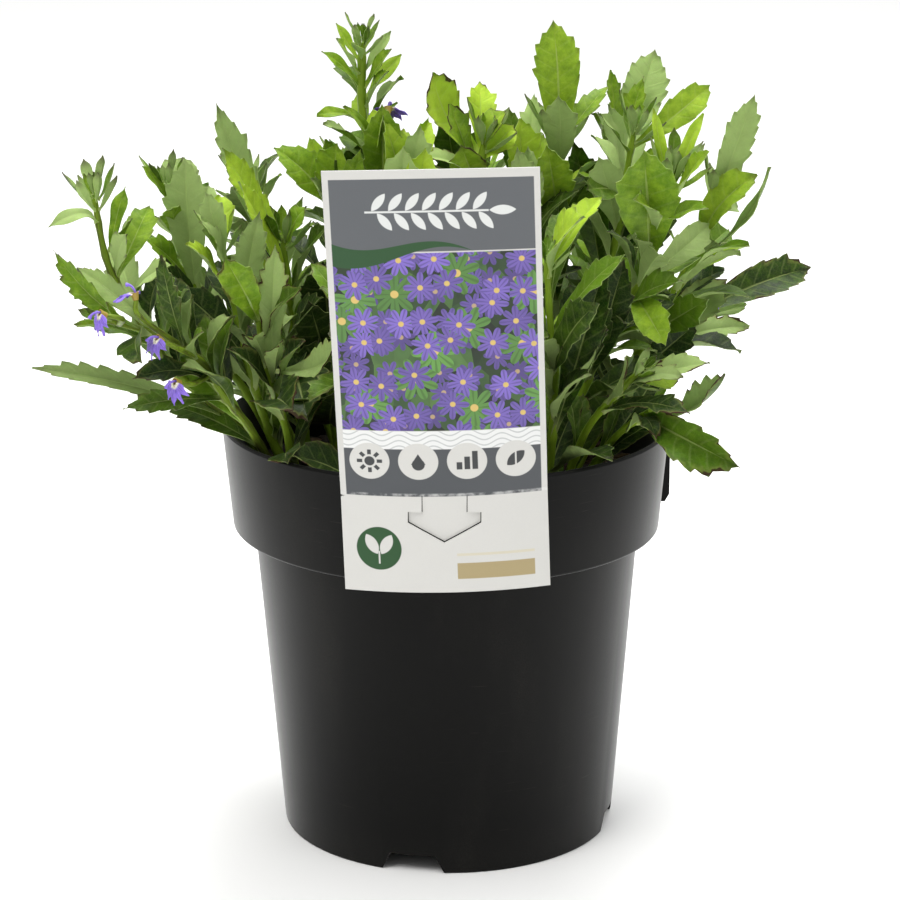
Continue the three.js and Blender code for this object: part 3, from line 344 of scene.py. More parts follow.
        "whorl": (4, 0.4, 0.75, 40, 13), "bud": (6, 17), "looks": "MgmdM",
    },
    "stem_right_low": {
        "path": ((44, -36, 144), (48, -41, 160), (54, -48, 177), (63, -56, 191), (72, -62, 202)),
        "placed": (
            (0.8, 97, -72, 210, 9, 0.06), (0.88, 98, -76, 198, 7, 0.08), (0.7, 90, -82, 192, 7, 0.1),
            (0.93, 88, -52, 198, 8, 0.06), (0.75, 66, -78, 212, 9, 0.06), (0.55, 74, -34, 204, 11, 0.1),
        ),
        "bud": (4, 14), "looks": "ggdlmd", "dusk": 0.1, "scorch": 0.8, "extra": 9,
    },
    "stem_right_over_rim": {
        "path": ((51, -27, 144), (58, -33, 159), (66, -43, 173), (77, -54, 185)),
        "placed": (
            (0.92, 109, -84, 171, 17, 0.22), (0.85, 103, -62, 202, 13, -0.24), (0.6, 84, -22, 196, 10, 0.1),
            (0.8, 78, -84, 183, 10, 0.15),
        ),
        "slim": {0: 0.78, 1: 0.62, 3: 0.6}, "fold": {0: 0.85, 1: 0.7}, "twist": {0: 38, 1: -30},
        "bud": (3, 12), "looks": "Mgdd", "dusk": 0.1, "scorch": 1, "extra": 5,
    },
    "stem_front_left": {
        "path": ((-24, -46, 144), (-28, -60, 180), (-32, -72, 215), (-34, -78, 242)),
        "added": ((0.2, -60, -68, 173, 16, 0.1, "ds"),),
        "whorl": (6, 0.45, 0.95, 38, 12), "bud": (5, 15), "dusk": 0.3, "scorch": 0.3,
    },
    "stem_front_right": {
        "path": ((6, -50, 144), (8, -62, 180), (12, -76, 215), (14, -82, 244)),
        "whorl": (6, 0.45, 0.95, 38, 12), "bud": (5, 15), "scorch": 0.3,
    },
    "stem_back_1": {
        "path": ((-60, 28, 144), (-78, 36, 175), (-96, 42, 204), (-110, 46, 232)),
        "whorl": (7, 0.42, 0.95, 42, 13), "bud": (5, 16), "dusk": 0.6, "extra": 10,
    },
    "stem_back_2": {
        "path": ((-47, 44, 144), (-62, 58, 182), (-76, 70, 216), (-84, 78, 246)),
        "whorl": (7, 0.4, 0.95, 44, 14), "bud": (5, 17), "dusk": 0.3, "extra": 10,
    },
    "stem_back_3": {
        "path": ((-20, 52, 144), (-30, 68, 185), (-40, 84, 222), (-44, 94, 250)),
        "whorl": (7, 0.4, 0.95, 44, 14), "bud": (5, 17), "extra": 10,
    },
    "stem_back_4": {
        "path": ((9, 52, 144), (12, 72, 185), (14, 88, 220), (14, 98, 247)),
        "whorl": (7, 0.4, 0.95, 44, 14), "bud": (5, 17), "dusk": 0.3, "extra": 10,
    },
    "stem_back_5": {
        "path": ((35, 62, 144), (46, 77, 182), (59, 91, 212), (67, 100, 236)),
        "added": (
            (0.85, 78, 62, 256, 14, 0.06, "D"), (0.7, 66, 66, 247, 14, 0.06, "M"),
            (0.6, 95, 60, 239, 13, 0.08, "D"),
        ),
        "whorl": (7, 0.4, 0.95, 44, 14), "bud": (5, 17), "extra": 10,
    },
    "stem_back_6": {
        "path": ((-4, 28, 144), (-2, 38, 185), (2, 46, 225), (4, 50, 258)),
        "added": ((0.9, -1, 14, 286, 12, 0.05, "D"), (0.9, 12, 40, 276, 14, 0.06, "D")),
        "whorl": (7, 0.5, 0.95, 42, 13), "bud": (5, 17), "extra": 10,
    },
    "stem_back_low": {
        "path": ((-40, 62, 144), (-50, 76, 178), (-62, 91, 193), (-73, 104, 206)),
        "whorl": (7, 0.45, 0.95, 38, 12), "bud": (4, 14), "dusk": 0.6, "scorch": 0.4,
    },
}

# Fan flowers: (stem, where on its path, middle of the fan, the way that the fan faces).
BLOOMS = (
    ("stem_left_low", 0.96, (-127, -92, 232), (-0.8, -0.4, 0.3)),
    ("stem_left_low", 0.8, (-115, -84, 238), (-0.2, 0.1, 0.95)),
    ("stem_left_low", 0.66, (-101, -84, 204), (-0.7, -0.6, 0.2)),
    ("stem_left_low", 0.74, (-107, -85, 221), (-0.75, -0.45, 0.5)),
    ("stem_tall", 0.68, (-23, -6, 293), (0.1, 0.6, 0.8)),
    ("stem_right_branch", 0.55, (106, 30, 212), (0.7, 0.65, 0.3)),
    ("stem_back_1", 0.7, (-112, 28, 214), (-0.9, 0.1, 0.3)),
    ("stem_back_3", 0.66, (-40, 104, 226), (-0.2, 0.9, 0.3)),
    ("stem_back_5", 0.68, (84, 98, 214), (0.7, 0.7, 0.3)),
)

# Label card, as in the part's source.
CARD = {"wide": 77, "thick": 0.8, "foot": 125.4, "crease": 163.5, "head": 290.5}
LEAN = {"foot": -93.6, "crease": -94, "head": -119, "shift": -6.1, "bow": 6.5, "tilt": 0.02}
TONGUE = {"neck": 16.7, "shoulder": 27, "top": 163, "throat": 156.5, "side": 152.5, "tip": 145}

# The finer card: its rows and columns, the width and the reach in depth of the slits round its tongue,
# a nick in its edge as (in from the edge, height) with its reach, and the height that its waves grow over.
CARD_GRID = (97, 49)
SLIT_WIDE = 0.32
SLIT_REACH = (-104, -86)
NICK = ((-1, 162.2), (1.5, 161.6), (-1, 160.6))
NICK_REACH = (-100, -78)
WARP_RISE = 164

# The print on the card: half its width, the softness of its edges, the panels as (foot, head), and the
# row of round signs. Heights are above the card's foot.
PRINT_SIDE = 36.3
PRINT_SOFT = 0.16
PANELS = {"header": (134.5, 161.8), "picture": (64.5, 134.0), "wave": (120.0, 145.0), "strip": (57.0, 64.3),
          "band": (37.5, 57.0)}
SIGN_UP = 52.0
SIGN_STEP = 18.0
SIGN_RADIUS = 7.4

# Pot, as in the part's source.
POT = {"height": 168, "foot": 66.9, "neck": 77.6, "rim": 90, "step": 86, "step_z": 125.4, "wall": 1.8,
       "floor": 8}
NOTCH = {"count": 4, "first": -12, "top": 18, "bottom": 26, "height": 7.4}
DRAIN = {"count": 4, "first": 33, "radius": 6, "reach": 50}
POCKET = {"azimuths": (0, 100), "wide": 17, "proud": 2, "top": 164, "bottom": 130.5, "bevel": 1.2, "slot": 1}
SOIL_TOP = 143
# The soft rim is pressed in beside its side hook, by a share of its radius.
PRESS = {"azimuth": 108, "spread": 34, "depth": 0.034, "low": 100, "high": 136}

# The studio, in metres: lamps as (name, place, size, power, colour), the place that they point at, and
# how the sky's strength rises, as (from, to, weakest, strongest), along Y and up.
LAMPS = (
    ("key_light", (-0.8, -1.1, 1.9), 0.9, 20, (1.0, 0.99, 0.97)),
    ("fill_light", (1.2, -0.9, 1.3), 1.0, 3, (0.98, 0.99, 1.0)),
    ("top_light", (0.1, 0.5, 1.9), 1.0, 30, (1.0, 1.0, 1.0)),
)
LIT_PLACE = (0, 0, 0.18)
SKY_BEHIND = (-0.95, -0.35, 0.38, 1.0)
SKY_ABOVE = (0.0, 0.55, 0.28, 1.0)
SENSOR_WIDTH = 36


def mix(a, b, t):
    return a + (b - a) * t


def smooth(low, high, x):
    t = np.clip((x - low) / (high - low), 0, 1)
    return t * t * (3 - 2 * t)


def unit(v):
    return v / np.linalg.norm(v, axis=-1, keepdims=True)


def square(way, hint):
    """The part of a hint that stands square to a way, as a unit vector."""
    return unit(hint - way * np.sum(way * hint, axis=-1, keepdims=True))


def turned(v, axis, degrees):
    """A vector turned about a unit axis."""
    a = math.radians(degrees)
    return v * math.cos(a) + np.cross(axis, v) * math.sin(a) + axis * (axis @ v) * (1 - math.cos(a))


def around(radius, azimuth, z):
    """A point at an azimuth from the front, which grows towards +X."""
    a = np.radians(azimuth)
    return np.stack(np.broadcast_arrays(radius * np.sin(a), -radius * np.cos(a), z), axis=-1)


class Draw:
    """Repeatable draws between 0 and 1, each a step round a long ring of whole numbers."""
    RING = 2147483647
    STEP = 16807

    def __init__(self, seed):
        self.state = (seed * 7919 + 11) % self.RING

    def __call__(self, low=0.0, high=1.0):
        self.state = (self.state * self.STEP) % self.RING
        return mix(low, high, self.state / self.RING)


def path_point(path, t):
    """Points of the smooth curve through a path, for shares t of its length."""
    t = np.asarray(t, float)
    span = np.clip(t, 0, 1) * (len(path) - 1)
    i = np.minimum(span.astype(int), len(path) - 2)
    s = (span - i)[..., None]
    b, c = path[i], path[i + 1]
    a = path[np.maximum(i - 1, 0)]
    d = path[np.minimum(i + 2, len(path) - 1)]
    return 0.5 * (2 * b + (c - a) * s + (2 * a - 5 * b + 4 * c - d) * s**2 + (3 * b - a - 3 * c + d) * s**3)


def path_way(path, t):
    step = 0.01
    return unit(path_point(path, np.minimum(t + step, 1)) - path_point(path, np.maximum(t - step, 0)))


def chord_point(path, t):
    """A point on the straight runs between the rings of a stem's CAD body."""
    runs = len(path) - 1
    run = min(int(t / BUD_START * runs), runs - 1)
    ends = BUD_START * run / runs, BUD_START * (run + 1) / runs
    return mix(path_point(path, ends[0]), path_point(path, ends[1]), (t - ends[0]) / (ends[1] - ends[0]))


def on_skin(path, where, way):
    """Where a blade leaves a shoot: a little inside its skin."""
    radius = STEM_RADIUS * mix(1, STEM_TAPER, where) * ROOT_SUNK
    centre = chord_point(path, where) if where < BUD_START else path_point(path, where)
    return centre + square(path_way(path, where), way) * radius


def rooted(points):
    path = np.array(points, float)
    way = unit(path[1] - path[0])
    return np.vstack((path[0] - way * STEM_DEPTH, path))


def corner_way(way, j):
    return turned(square(way, RING_START), way, 360 * j / CAD_SIDES)


def bent(blade, bend):
    """A blade turned about its root, lifted and shortened."""
    turn, lift, length = bend
    way = blade["tip"] - blade["root"]
    across = unit(np.cross(unit(way), blade["upper"]))
    way = turned(turned(way, blade["upper"], turn), across, lift) * length
    changed = {
        "tip": blade["root"] + way,
        "upper": square(unit(way), blade["upper"]),
        "wide": blade["wide"] * mix(1, length, 0.5),
    }
    return blade | changed


def ring_turns(sides):
    """The turns of a ring's corners, in radians."""
    return np.arange(sides) * 2 * np.pi / sides


def circle(one, other, turns):
    """Unit ways round an axis, one for each turn, from two ways that stand square to it."""
    turns = turns[:, None]
    return one[..., None, :] * np.cos(turns) + other[..., None, :] * np.sin(turns)


def leaf(root, way, long, hint, **traits):
    """A blade from its root along a unit way, with its upper side as near to a hint as it can be."""
    return {"root": root, "tip": root + way * long, "upper": square(way, hint), "look": ""} | traits


def placed_blade(path, placed, look, draw):
    """A listed leaf, as (where, tip x, y, z, width, arch)."""
    where, x, y, z, wide, arch = placed
    tip = np.array((x, y, z), float)
    root = on_skin(path, where, tip - path_point(path, where))
    way = unit(tip - root)
    upper = turned(square(way, square(way, path_way(path, where)) * STALK_PULL + SEEN), way, draw(-22, 22))
    return {"root": root, "tip": tip, "upper": upper, "wide": wide * PLACED_WIDER, "arch": arch,
            "fold": draw(0.12, 0.4), "where": where, "look": look}


def faced(blade):
    """A blade whose look has a capital, with its broad side turned to the front."""
    if blade["look"].islower() or not blade["look"]:
        return blade
    return blade | {"upper": square(unit(blade["tip"] - blade["root"]), VIEWER)}


def blades_of(stem, seed):
    """The leaves of one stem, as in the part's source, before any is bent clear of a neighbour."""
    draw = Draw(seed)
    path = stem["path"]
    blades = [placed_blade(path, placed, look, draw)
              for placed, look in zip(stem["placed"], stem["looks"])]
    for trait in ("slim", "fold", "twist"):
        for number, value in stem[trait].items():
            blades[number][trait] = value
    count, start, end, longest, wide = stem["whorl"]
    for i in range(count):
        step = i / count
        where = mix(start, end, step)
        long = longest * mix(1, 0.72, step) * draw(0.85, 1.1)
        stalk = path_way(path, where)
        side = turned(square(stalk, SPIRAL_START), stalk, GOLDEN * i + 40 * draw())
        way = turned(stalk, side, mix(60, 34, step))
        way[2] = max(way[2], 0)
        way = unit(way)
        blades.append(leaf(on_skin(path, where, way), way, long, stalk, wide=wide * mix(1, 0.8, step),
                           arch=0.1, fold=draw(0.15, 0.4), where=where))
    return blades


def packed_tips(node):
    """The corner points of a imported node, to find which way each of its blades was bent."""
    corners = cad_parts[node].data.vertices
    tree = KDTree(len(corners))
    for i, corner in enumerate(corners):
        tree.insert(corner.co, i)
    tree.balance()
    return tree


def grown_blades(name, stem, seed):
    """The leaves of one stem as packed: each in the bend whose tip is a corner of the node."""
    tree = packed_tips(name)
    near = 0.05 * MM
    blades = []
    for blade in blades_of(stem, seed):
        ways = (bent(blade, bend) for bend in BENDS)
        found = next((way for way in ways if tree.find(Vector(way["tip"] * MM))[2] < near), None)
        if found:
            blades.append(faced(found))
    return blades


def nearest(taken, line):
    """The least distance between the points of a line and the points that are taken."""
    return np.linalg.norm(taken[None] - line[:, None], axis=2).min()


def added_blades(stem, draw, taken):
    """The finer leaves of one stem, each in the first bend that stands clear of what is there."""
    found = []
    for *placed, look in stem["added"]:
        blade = placed_blade(stem["path"], placed, look, draw)
        ways = [bent(blade, bend) for bend in BENDS[:ADDED_BENDS]]
        lines = [blade_line(way, (0.45, 0.7, 1)) for way in ways]
        rooms = [nearest(taken, line) for line in lines]
        best = next((i for i, clear in enumerate(rooms) if clear > ADDED_CLEAR), int(np.argmax(rooms)))
        found.append(faced(ways[best]))
        taken = np.vstack((taken, lines[best]))
    return found, taken


def bud_of(stem):
    """Where a bud stands, its way, how many young leaves it has and how long they are."""
    return path_point(stem["path"], 1), path_way(stem["path"], 1), *stem["bud"]


def young_blades(stem):
    """The young leaves of a bud, lowest first, as in the part's source."""
    head, way, count, long = bud_of(stem)
    blades = []
    for i in range(count):
        step = i / count
        band = int(step * (len(BUD_RINGS) - 1))
        (low, radius), (high, _) = BUD_RINGS[band:band + 2]
        lean = math.radians(mix(48, 22, step))
        out = corner_way(way, (2 * i) % CAD_SIDES + 0.5)
        root = head + way * (low + high) / 2 + out * radius * 0.5
        blades.append(leaf(root, way * math.cos(lean) + out * math.sin(lean), long * mix(1, 0.8, step), way,
                           wide=long * 0.26, arch=-0.07, fold=0.3, where=1))
    return blades


def inner_blades(stem, draw):
    """Smaller leaves that close a bud inside its young leaves."""
    head, way, count, long = bud_of(stem)
    blades = []
    for i in range(count):
        step = i / count
        lean = math.radians(mix(26, 6, step) * draw(0.8, 1.2))
        out = turned(corner_way(way, 0.25), way, GOLDEN * i)
        root = head + way * mix(-1, 3, step) + out * 0.8
        blades.append(leaf(root, way * math.cos(lean) + out * math.sin(lean), long * mix(0.72, 0.4, step),
                           way, wide=long * mix(0.22, 0.14, step), arch=-0.08, fold=0.35, where=1))
    return blades


def spread(t):
    """How wide a blade is along its length: narrow foot, widest past the middle."""
    rise = np.sin(np.pi / 2 * np.minimum(1, t / WIDEST) ** 1.5)
    fall = np.maximum(0, (t - WIDEST) / (1 - WIDEST)) ** 2
    return 0.16 + 0.84 * rise - 0.62 * fall


class Skin:
    """The points, faces and looks of one piece, gathered sheet by sheet."""

    def __init__(self):
        self.points = []
        self.faces = []
        self.fields = {}
        self.count = 0

    def add(self, points, faces, **fields):
        """Adds a sheet; a field is three numbers for each point, or for them all."""
        points = np.reshape(points, (-1, 3))
        self.points.append(points)
        self.faces.extend([corner + self.count for corner in face] for face in faces)
        for name, values in fields.items():
            values = np.broadcast_to(np.asarray(values, float), (len(points), 3))
            self.fields.setdefault(name, []).append(values)
        self.count += len(points)

    def build(self, name, angle=50):
        piece = new_piece(name, np.vstack(self.points), self.faces)
        for field, values in self.fields.items():
            store(piece.data, field, np.vstack(values))
        return shaded(piece, angle)


def store(mesh, field, values):
    layer = mesh.attributes.new(field, "FLOAT_VECTOR", "POINT")
    layer.data.foreach_set("vector", np.asarray(values, np.float32).ravel())


def grid(rows, columns, start=0, wrap=False):
    """Quads over a grid of points, with their fronts on the side of column way times row way."""
    i, j = np.meshgrid(np.arange(rows - 1), np.arange(columns if wrap else columns - 1), indexing="ij")
    k = (j + 1) % columns
    corners = (i * columns + j, i * columns + k, (i + 1) * columns + k, (i + 1) * columns + j)
    return np.stack(corners, axis=-1).reshape(-1, 4) + start


def new_piece(name, points, faces):
    """A mesh object from points in millimetres."""
    mesh = bpy.data.meshes.new(name)
    mesh.from_pydata((np.asarray(points) * MM).tolist(), [], faces)
    piece = bpy.data.objects.new(name, mesh)
    bpy.context.scene.collection.objects.link(piece)
    return piece


def shaded(piece, angle):
    """Shades a piece smooth, but for edges that are sharper than an angle in degrees."""
    piece.data.shade_smooth()
    piece.data.set_sharp_from_angle(angle=math.radians(angle))
    return piece


def capped(rings, sides):
    """Faces of a tube of rings, closed by a flat face at each end."""
    first = list(range(sides))[::-1]
    last = [(rings - 1) * sides + j for j in range(sides)]
    return grid(rings, sides, wrap=True).tolist() + [first, last]


def slab(rows, columns):
    """Faces of a thin solid: an upper grid, a lower grid after it, and the rim between them."""
    under = rows * columns
    numbers = np.arange(under).reshape(rows, columns)
    edge = np.concatenate((numbers[0], numbers[1:, -1], numbers[-1, -2::-1], numbers[-2:0:-1, 0]))
    after = np.roll(edge, -1)
    rim = np.stack((after, edge, edge + under, after + under), axis=-1)
    return np.vstack((grid(rows, columns), grid(rows, columns, under)[:, ::-1], rim)).tolist()


def both_sides(front, back):
    """The points of a thin solid, in the order of its faces."""
    return np.vstack((front.reshape(-1, 3), back.reshape(-1, 3)))


def tooth_rows(teeth):
    """Shares of the length for a blade's rows, four to a tooth, and which of them are toothed."""
    if not teeth:
        return np.linspace(0, 1, PLAIN_ROWS), np.full(PLAIN_ROWS, -1)
    start, end = TOOTHED
    foot = np.linspace(0, start, 8)[:-1]
    toothed = np.linspace(start, end, 4 * teeth + 1)[:-1]
    u = np.concatenate((foot, toothed, np.linspace(end, 1, 6)))
    step = np.full(len(u), -1)
    step[len(foot):len(foot) + 4 * teeth] = np.arange(4 * teeth)
    return u, step


def toothed_edge(u, step, sweep, outline, teeth, shift, draw, tall):
    """One edge of a blade: where each row meets it, how far out, its side vein, and its teeth's points."""
    run = (TOOTHED[1] - TOOTHED[0]) / (4 * max(teeth, 1))
    heights = [draw(0.15, 1.25) for _ in range(teeth + 2)]
    edge, reach, point = sweep.copy(), outline.copy(), np.zeros(len(u))
    for row, k in enumerate(step):
        if k < 0:
            continue
        number, part = divmod(int(k) + shift, 4)
        fade = min(1, 0.45 + 0.35 * min(k + 1, 4 * teeth - k) / 4)
        rise = TOOTH_RISE[part] * tall * heights[number] * fade * min(1, outline[row] / 3.2)
        reach[row] = outline[row] * 0.95 + rise
        if part == 3:
            point[row] = 1
            edge[row] += 0.6 * run
    return edge, reach, (u - TOOTHED[0]) / run / 4 + (shift - 3) / 4, point


def add_blade(skin, blade, look, draw, sizes):
    """One leaf as a thin solid: toothed edge, folded and waved blade, raised ridge below."""
    root, along, upper = blade["root"], blade["tip"] - blade["root"], blade["upper"]
    long = float(np.linalg.norm(along))
    grown = min(1, long / 30)
    teeth = look["teeth"]
    u, step = tooth_rows(teeth)
    across = np.array(LEAF_COLUMNS if long > 16 else BUD_COLUMNS)
    sweep = u + 0.11 * np.sin(np.pi * u)
    outline = blade["wide"] / 2 * spread(sweep) * (1 - np.clip((sweep - 0.8) / 0.2, 0, 1) ** 1.7)
    outline = np.maximum(outline * look["slim"], 0.12)
    tall = sizes.tooth_depth / MM
    edges = [toothed_edge(u, step, sweep, outline, teeth, shift, draw, tall) for shift in (2, 0)]
    side = (across > 0).astype(int)
    edge, reach, vein, point = (np.stack(rows, axis=1)[:, side] for rows in zip(*edges))

    # The blade's midline arches, and its cross way twists along it.
    a = np.abs(across)[None, :]
    t = u[:, None] + (edge - u[:, None]) * a**1.3
    half = reach * a
    lift = blade["arch"] * long
    centre = root + t[..., None] * along + (4 * t * (1 - t) * lift)[..., None] * upper
    way = unit(along + upper * (4 * (1 - 2 * t) * lift)[..., None])
    top = square(way, upper)
    side_way = np.cross(way, top)
    twist = math.radians(look["twist"]) * (t - 0.3)[..., None]
    top, side_way = (top * np.cos(twist) + side_way * np.sin(twist),
                     side_way * np.cos(twist) - top * np.sin(twist))

    # Heights over the blade: a waved edge, veins, the midrib's channel, the fold and the curl.
    ripple = np.sin(2 * np.pi * (look["waves"] * t + 0.4 * side[None, :]) + look["phase"])
    wave = sizes.edge_wave / MM * look["wave"] * a**2 * ripple
    groove = 0.5 - np.abs((vein % 1) - 0.5)
    relief = (smooth(0, 0.3, groove) - 0.5) * smooth(0.05, 0.3, a) * smooth(1, 0.8, a)
    relief = sizes.vein_relief / MM * relief * smooth(0.1, 0.4, t) * min(1, long / 40)
    channel = -0.35 * np.exp(-(half / 0.55) ** 2) * smooth(0.02, 0.2, t) * grown
    cup = FOLD_DEEPER * blade["fold"] * (np.sqrt(half**2 + 0.7) - math.sqrt(0.7))
    curl = -look["curl"] * long * smooth(0.45, 1, t) ** 2
    sway = look["sway"] * long * np.sin(np.pi * t)
    place = centre + side_way * (np.sign(across)[None, :] * half + sway)[..., None]
    place = place + top * (cup + wave + relief + channel + curl)[..., None]
    thick = sizes.leaf_thickness / MM * (1 - 0.45 * a) * mix(0.75, 1, grown) + 0.8 * np.exp(-t / 0.04)
    ridge = 0.55 * (1 - t) * np.exp(-(half / 0.5) ** 2) * grown
    points = both_sides(place + top * (thick / 2)[..., None], place - top * (thick / 2 + ridge)[..., None])

    # What the finish reads at each point.
    purple = look["purple"] * np.maximum(point * (a > 0.99), smooth(look["tip"], 1, t))
    here = np.stack(np.broadcast_arrays(t, a, vein), axis=-1)
    shown = np.stack(np.broadcast_arrays(look["tone"], look["scorch"], purple), axis=-1)
    kinds = [np.broadcast_to((upper_side, 0, look["seed"]), here.shape)
             for upper_side in (not look["flip"], look["flip"])]
    skin.add(points, slab(*t.shape), leaf_place=both_sides(here, here), leaf_look=both_sides(shown, shown),
             leaf_kind=both_sides(*kinds))


def leaf_look(blade, stem, draw):
    """How one leaf looks: its tone, with painted shade low in the plant, its side, teeth, wave, browning and
    purple tips.
    """
    long = float(np.linalg.norm(blade["tip"] - blade["root"]))
    letter = blade["look"][:1].lower() or DRAWN_LOOKS[int(draw(0, 9.999))]
    age = 1 - blade["where"]
    # Painted shade: a leaf whose tip is low in the plant gets a darker tone, and one near its top a lighter
    # one. The darker tone of leaves low on their stem is partly their age and partly painted shade too.
    painted_shade_by_height = mix(0.2, -0.2, smooth(190, 300, blade["tip"][2]))
    slim_or_short = long < 17 or blade["wide"] < 6.2
    return {
        "tone": float(np.clip(LOOK_TONES[letter] + draw(-0.12, 0.12) + 0.32 * age + painted_shade_by_height, 0, 1)),
        "flip": letter == "g",
        "teeth": 0 if slim_or_short else int(np.clip(round(long / 11.5), 1, 5)),
        "slim": draw(0.9, 1.06) * blade.get("slim", 1),
        "twist": draw(-16, 16) + blade.get("twist", 0),
        "wave": draw(0.3, 1) * min(1, long / 35),
        "waves": draw(1.2, 2.2),
        "phase": draw(0, 6.28),
        "curl": draw(-0.01, 0.05),
        "sway": draw(-0.025, 0.025),
        "scorch": (0.9 if "s" in blade["look"] else
                   stem["scorch"] * draw(0.55, 1) * smooth(0, 0.1, age) + 0.02),
        "purple": draw(0.5, 1) if long < 24 else draw(0.2, 0.8),
        "seed": draw(),
        "tip": 0.9,
    }


def add_shoot(skin, path, joints, radius, shape, dusk, draw):
    """A round shoot with faint ribs that swells a little at its leaf joints and closes at both ends."""
    rows, sides = shape
    t = np.linspace(0, 1, rows)
    way = path_way(path, t)
    side = square(way, RING_START)
    turns = ring_turns(sides)
    wide = radius * (1 + (STEM_TAPER - 1) * t)
    for joint in joints:
        wide = wide + 0.3 * np.exp(-((t - joint) / 0.014) ** 2)
    reach = wide[:, None] * (1 + 0.05 * np.cos(5 * turns + 6 * t[:, None]))
    ring = path_point(path, t)[:, None] + reach[..., None] * circle(side, np.cross(way, side), turns)
    here = np.stack(np.broadcast_arrays(t[:, None], turns / (2 * np.pi), 0), axis=-1)
    skin.add(ring, capped(rows, sides), leaf_place=here.reshape(-1, 3),
             leaf_look=(draw(0.2, 0.5), dusk, 0), leaf_kind=(1, 1, draw()))


def rod(path, radii, sides):
    """A round solid along points, with a radius at each, closed at both ends."""
    path = np.asarray(path, float)
    way = unit(np.gradient(path, axis=0))
    side = square(way, ROD_START)
    turn = circle(side, np.cross(way, side), ring_turns(sides))
    return path[:, None] + turn * np.reshape(radii, (-1, 1, 1)), capped(len(path), sides)


def card_point(across, z, depth):
    """A point of the bent label card, as in the part's source."""
    bend = np.maximum(0, (z - CARD["crease"]) / (CARD["head"] - CARD["crease"]))
    low = (z - CARD["foot"]) / (CARD["crease"] - CARD["foot"])
    below = mix(LEAN["foot"], LEAN["crease"], low)
    y = np.where(z < CARD["crease"], below, mix(LEAN["crease"], LEAN["head"], bend**0.9))
    bow = LEAN["bow"] * (1 - 0.85 * bend) * (across / (CARD["wide"] / 2)) ** 2
    shift = LEAN["shift"] * (z - CARD["foot"]) / (CARD["head"] - CARD["foot"])
    parts = np.broadcast_arrays(across + shift, y + bow + depth, z + LEAN["tilt"] * across)
    return np.stack(parts, axis=-1)


def blade_line(blade, shares):
    """Points along a blade's midrib."""
    shares = np.asarray(shares, float)[:, None]
    long = np.linalg.norm(blade["tip"] - blade["root"])
    lift = 4 * shares * (1 - shares) * blade["arch"] * long
    return blade["root"] + shares * (blade["tip"] - blade["root"]) + lift * blade["upper"]


def taken_points(grown):
    """Points of the shoots, leaves, label and rim, which an added leaf keeps clear of."""
    marks = []
    for stem in grown.values():
        marks.append(path_point(stem["path"], np.linspace(0.1, 1, 30)))
        marks.extend(blade_line(blade, (0.35, 0.5, 0.65, 0.8, 0.95)) for blade in stem["blades"])
        marks.extend(blade_line(blade, (0.4, 0.9)) for blade in stem["young"])
    across, z = np.meshgrid(np.linspace(-38, 38, 12), np.linspace(CARD["foot"], CARD["head"], 24))
    marks.append(card_point(across, z, 0).reshape(-1, 3))
    marks.append(around(POT["rim"], np.arange(0, 360, 4), POT["height"]))
    marks.extend(np.array([middle], float) for _, _, middle, _ in BLOOMS)
    return np.vstack(marks)


def small_leaf(path, draw):
    """A small leaf at a drawn place on a stem."""
    where = draw(0.22, 0.96)
    long = mix(46, 17, where) * draw(0.75, 1.2)
    stalk = path_way(path, where)
    side = turned(square(stalk, SPIRAL_START), stalk, draw(0, 360))
    way = turned(stalk, side, mix(64, 30, where) + draw(-9, 9))
    return leaf(on_skin(path, where, way), way, long, stalk, wide=long * draw(0.24, 0.36),
                arch=draw(0.03, 0.14), fold=draw(0.15, 0.4), where=where)


def has_room(tip, room):
    """Whether a small leaf's tip is in the plant's box, above the front rim and not at the label."""
    inside = np.all(tip > room[0]) and np.all(tip < room[1])
    low = tip[2] < LOWEST_TIP or (tip[2] < FRONT_RIM["z"] and tip[1] < FRONT_RIM["y"])
    at_label = abs(tip[0]) < BY_LABEL["x"] and tip[1] < BY_LABEL["y"]
    return inside and not low and not at_label


def extra_blades(stem, draw, taken, room):
    """Small leaves in a stem's gaps, each kept clear of what is there already."""
    found = []
    for _ in range(round(stem["extra"] * GAP_FILL)):
        for _ in range(GAP_TRIES):
            blade = small_leaf(stem["path"], draw)
            line = blade_line(blade, (0.4, 0.6, 0.8, 1))
            if has_room(blade["tip"], room) and nearest(taken, line) > GAP_CLEAR:
                found.append(blade)
                taken = np.vstack((taken, line))
                break
    return found, taken


def grown_stems():
    """Every stem with its rooted path, its packed leaves, its bud and the small leaves in its gaps."""
    grown = {}
    for seed, (name, stem) in enumerate(STEMS.items(), start=1):
        whole = USUAL | stem | {"path": rooted(stem["path"])}
        whole["blades"] = grown_blades(name, whole, seed)
        whole["young"] = young_blades(whole)
        grown[name] = whole
    taken = taken_points(grown)
    room = np.array(CAD_BOX) / MM + ((ROOM_INSET,), (-ROOM_INSET,))
    room[0][2] = SOIL_TOP + LEAF_ABOVE_SOIL
    for seed, whole in enumerate(grown.values(), start=SEEDS["added"]):
        whole["added"], taken = added_blades(whole, Draw(seed), taken)
    for seed, whole in enumerate(grown.values(), start=SEEDS["extra"]):
        whole["extras"], taken = extra_blades(whole, Draw(seed), taken, room)
    return grown


def fan_axes(facing):
    """The way that a fan faces, the way down across it, and the way to its side."""
    face = unit(np.array(facing, float))
    down = square(face, np.array((0, 0, -1)))
    return face, down, np.cross(down, face)


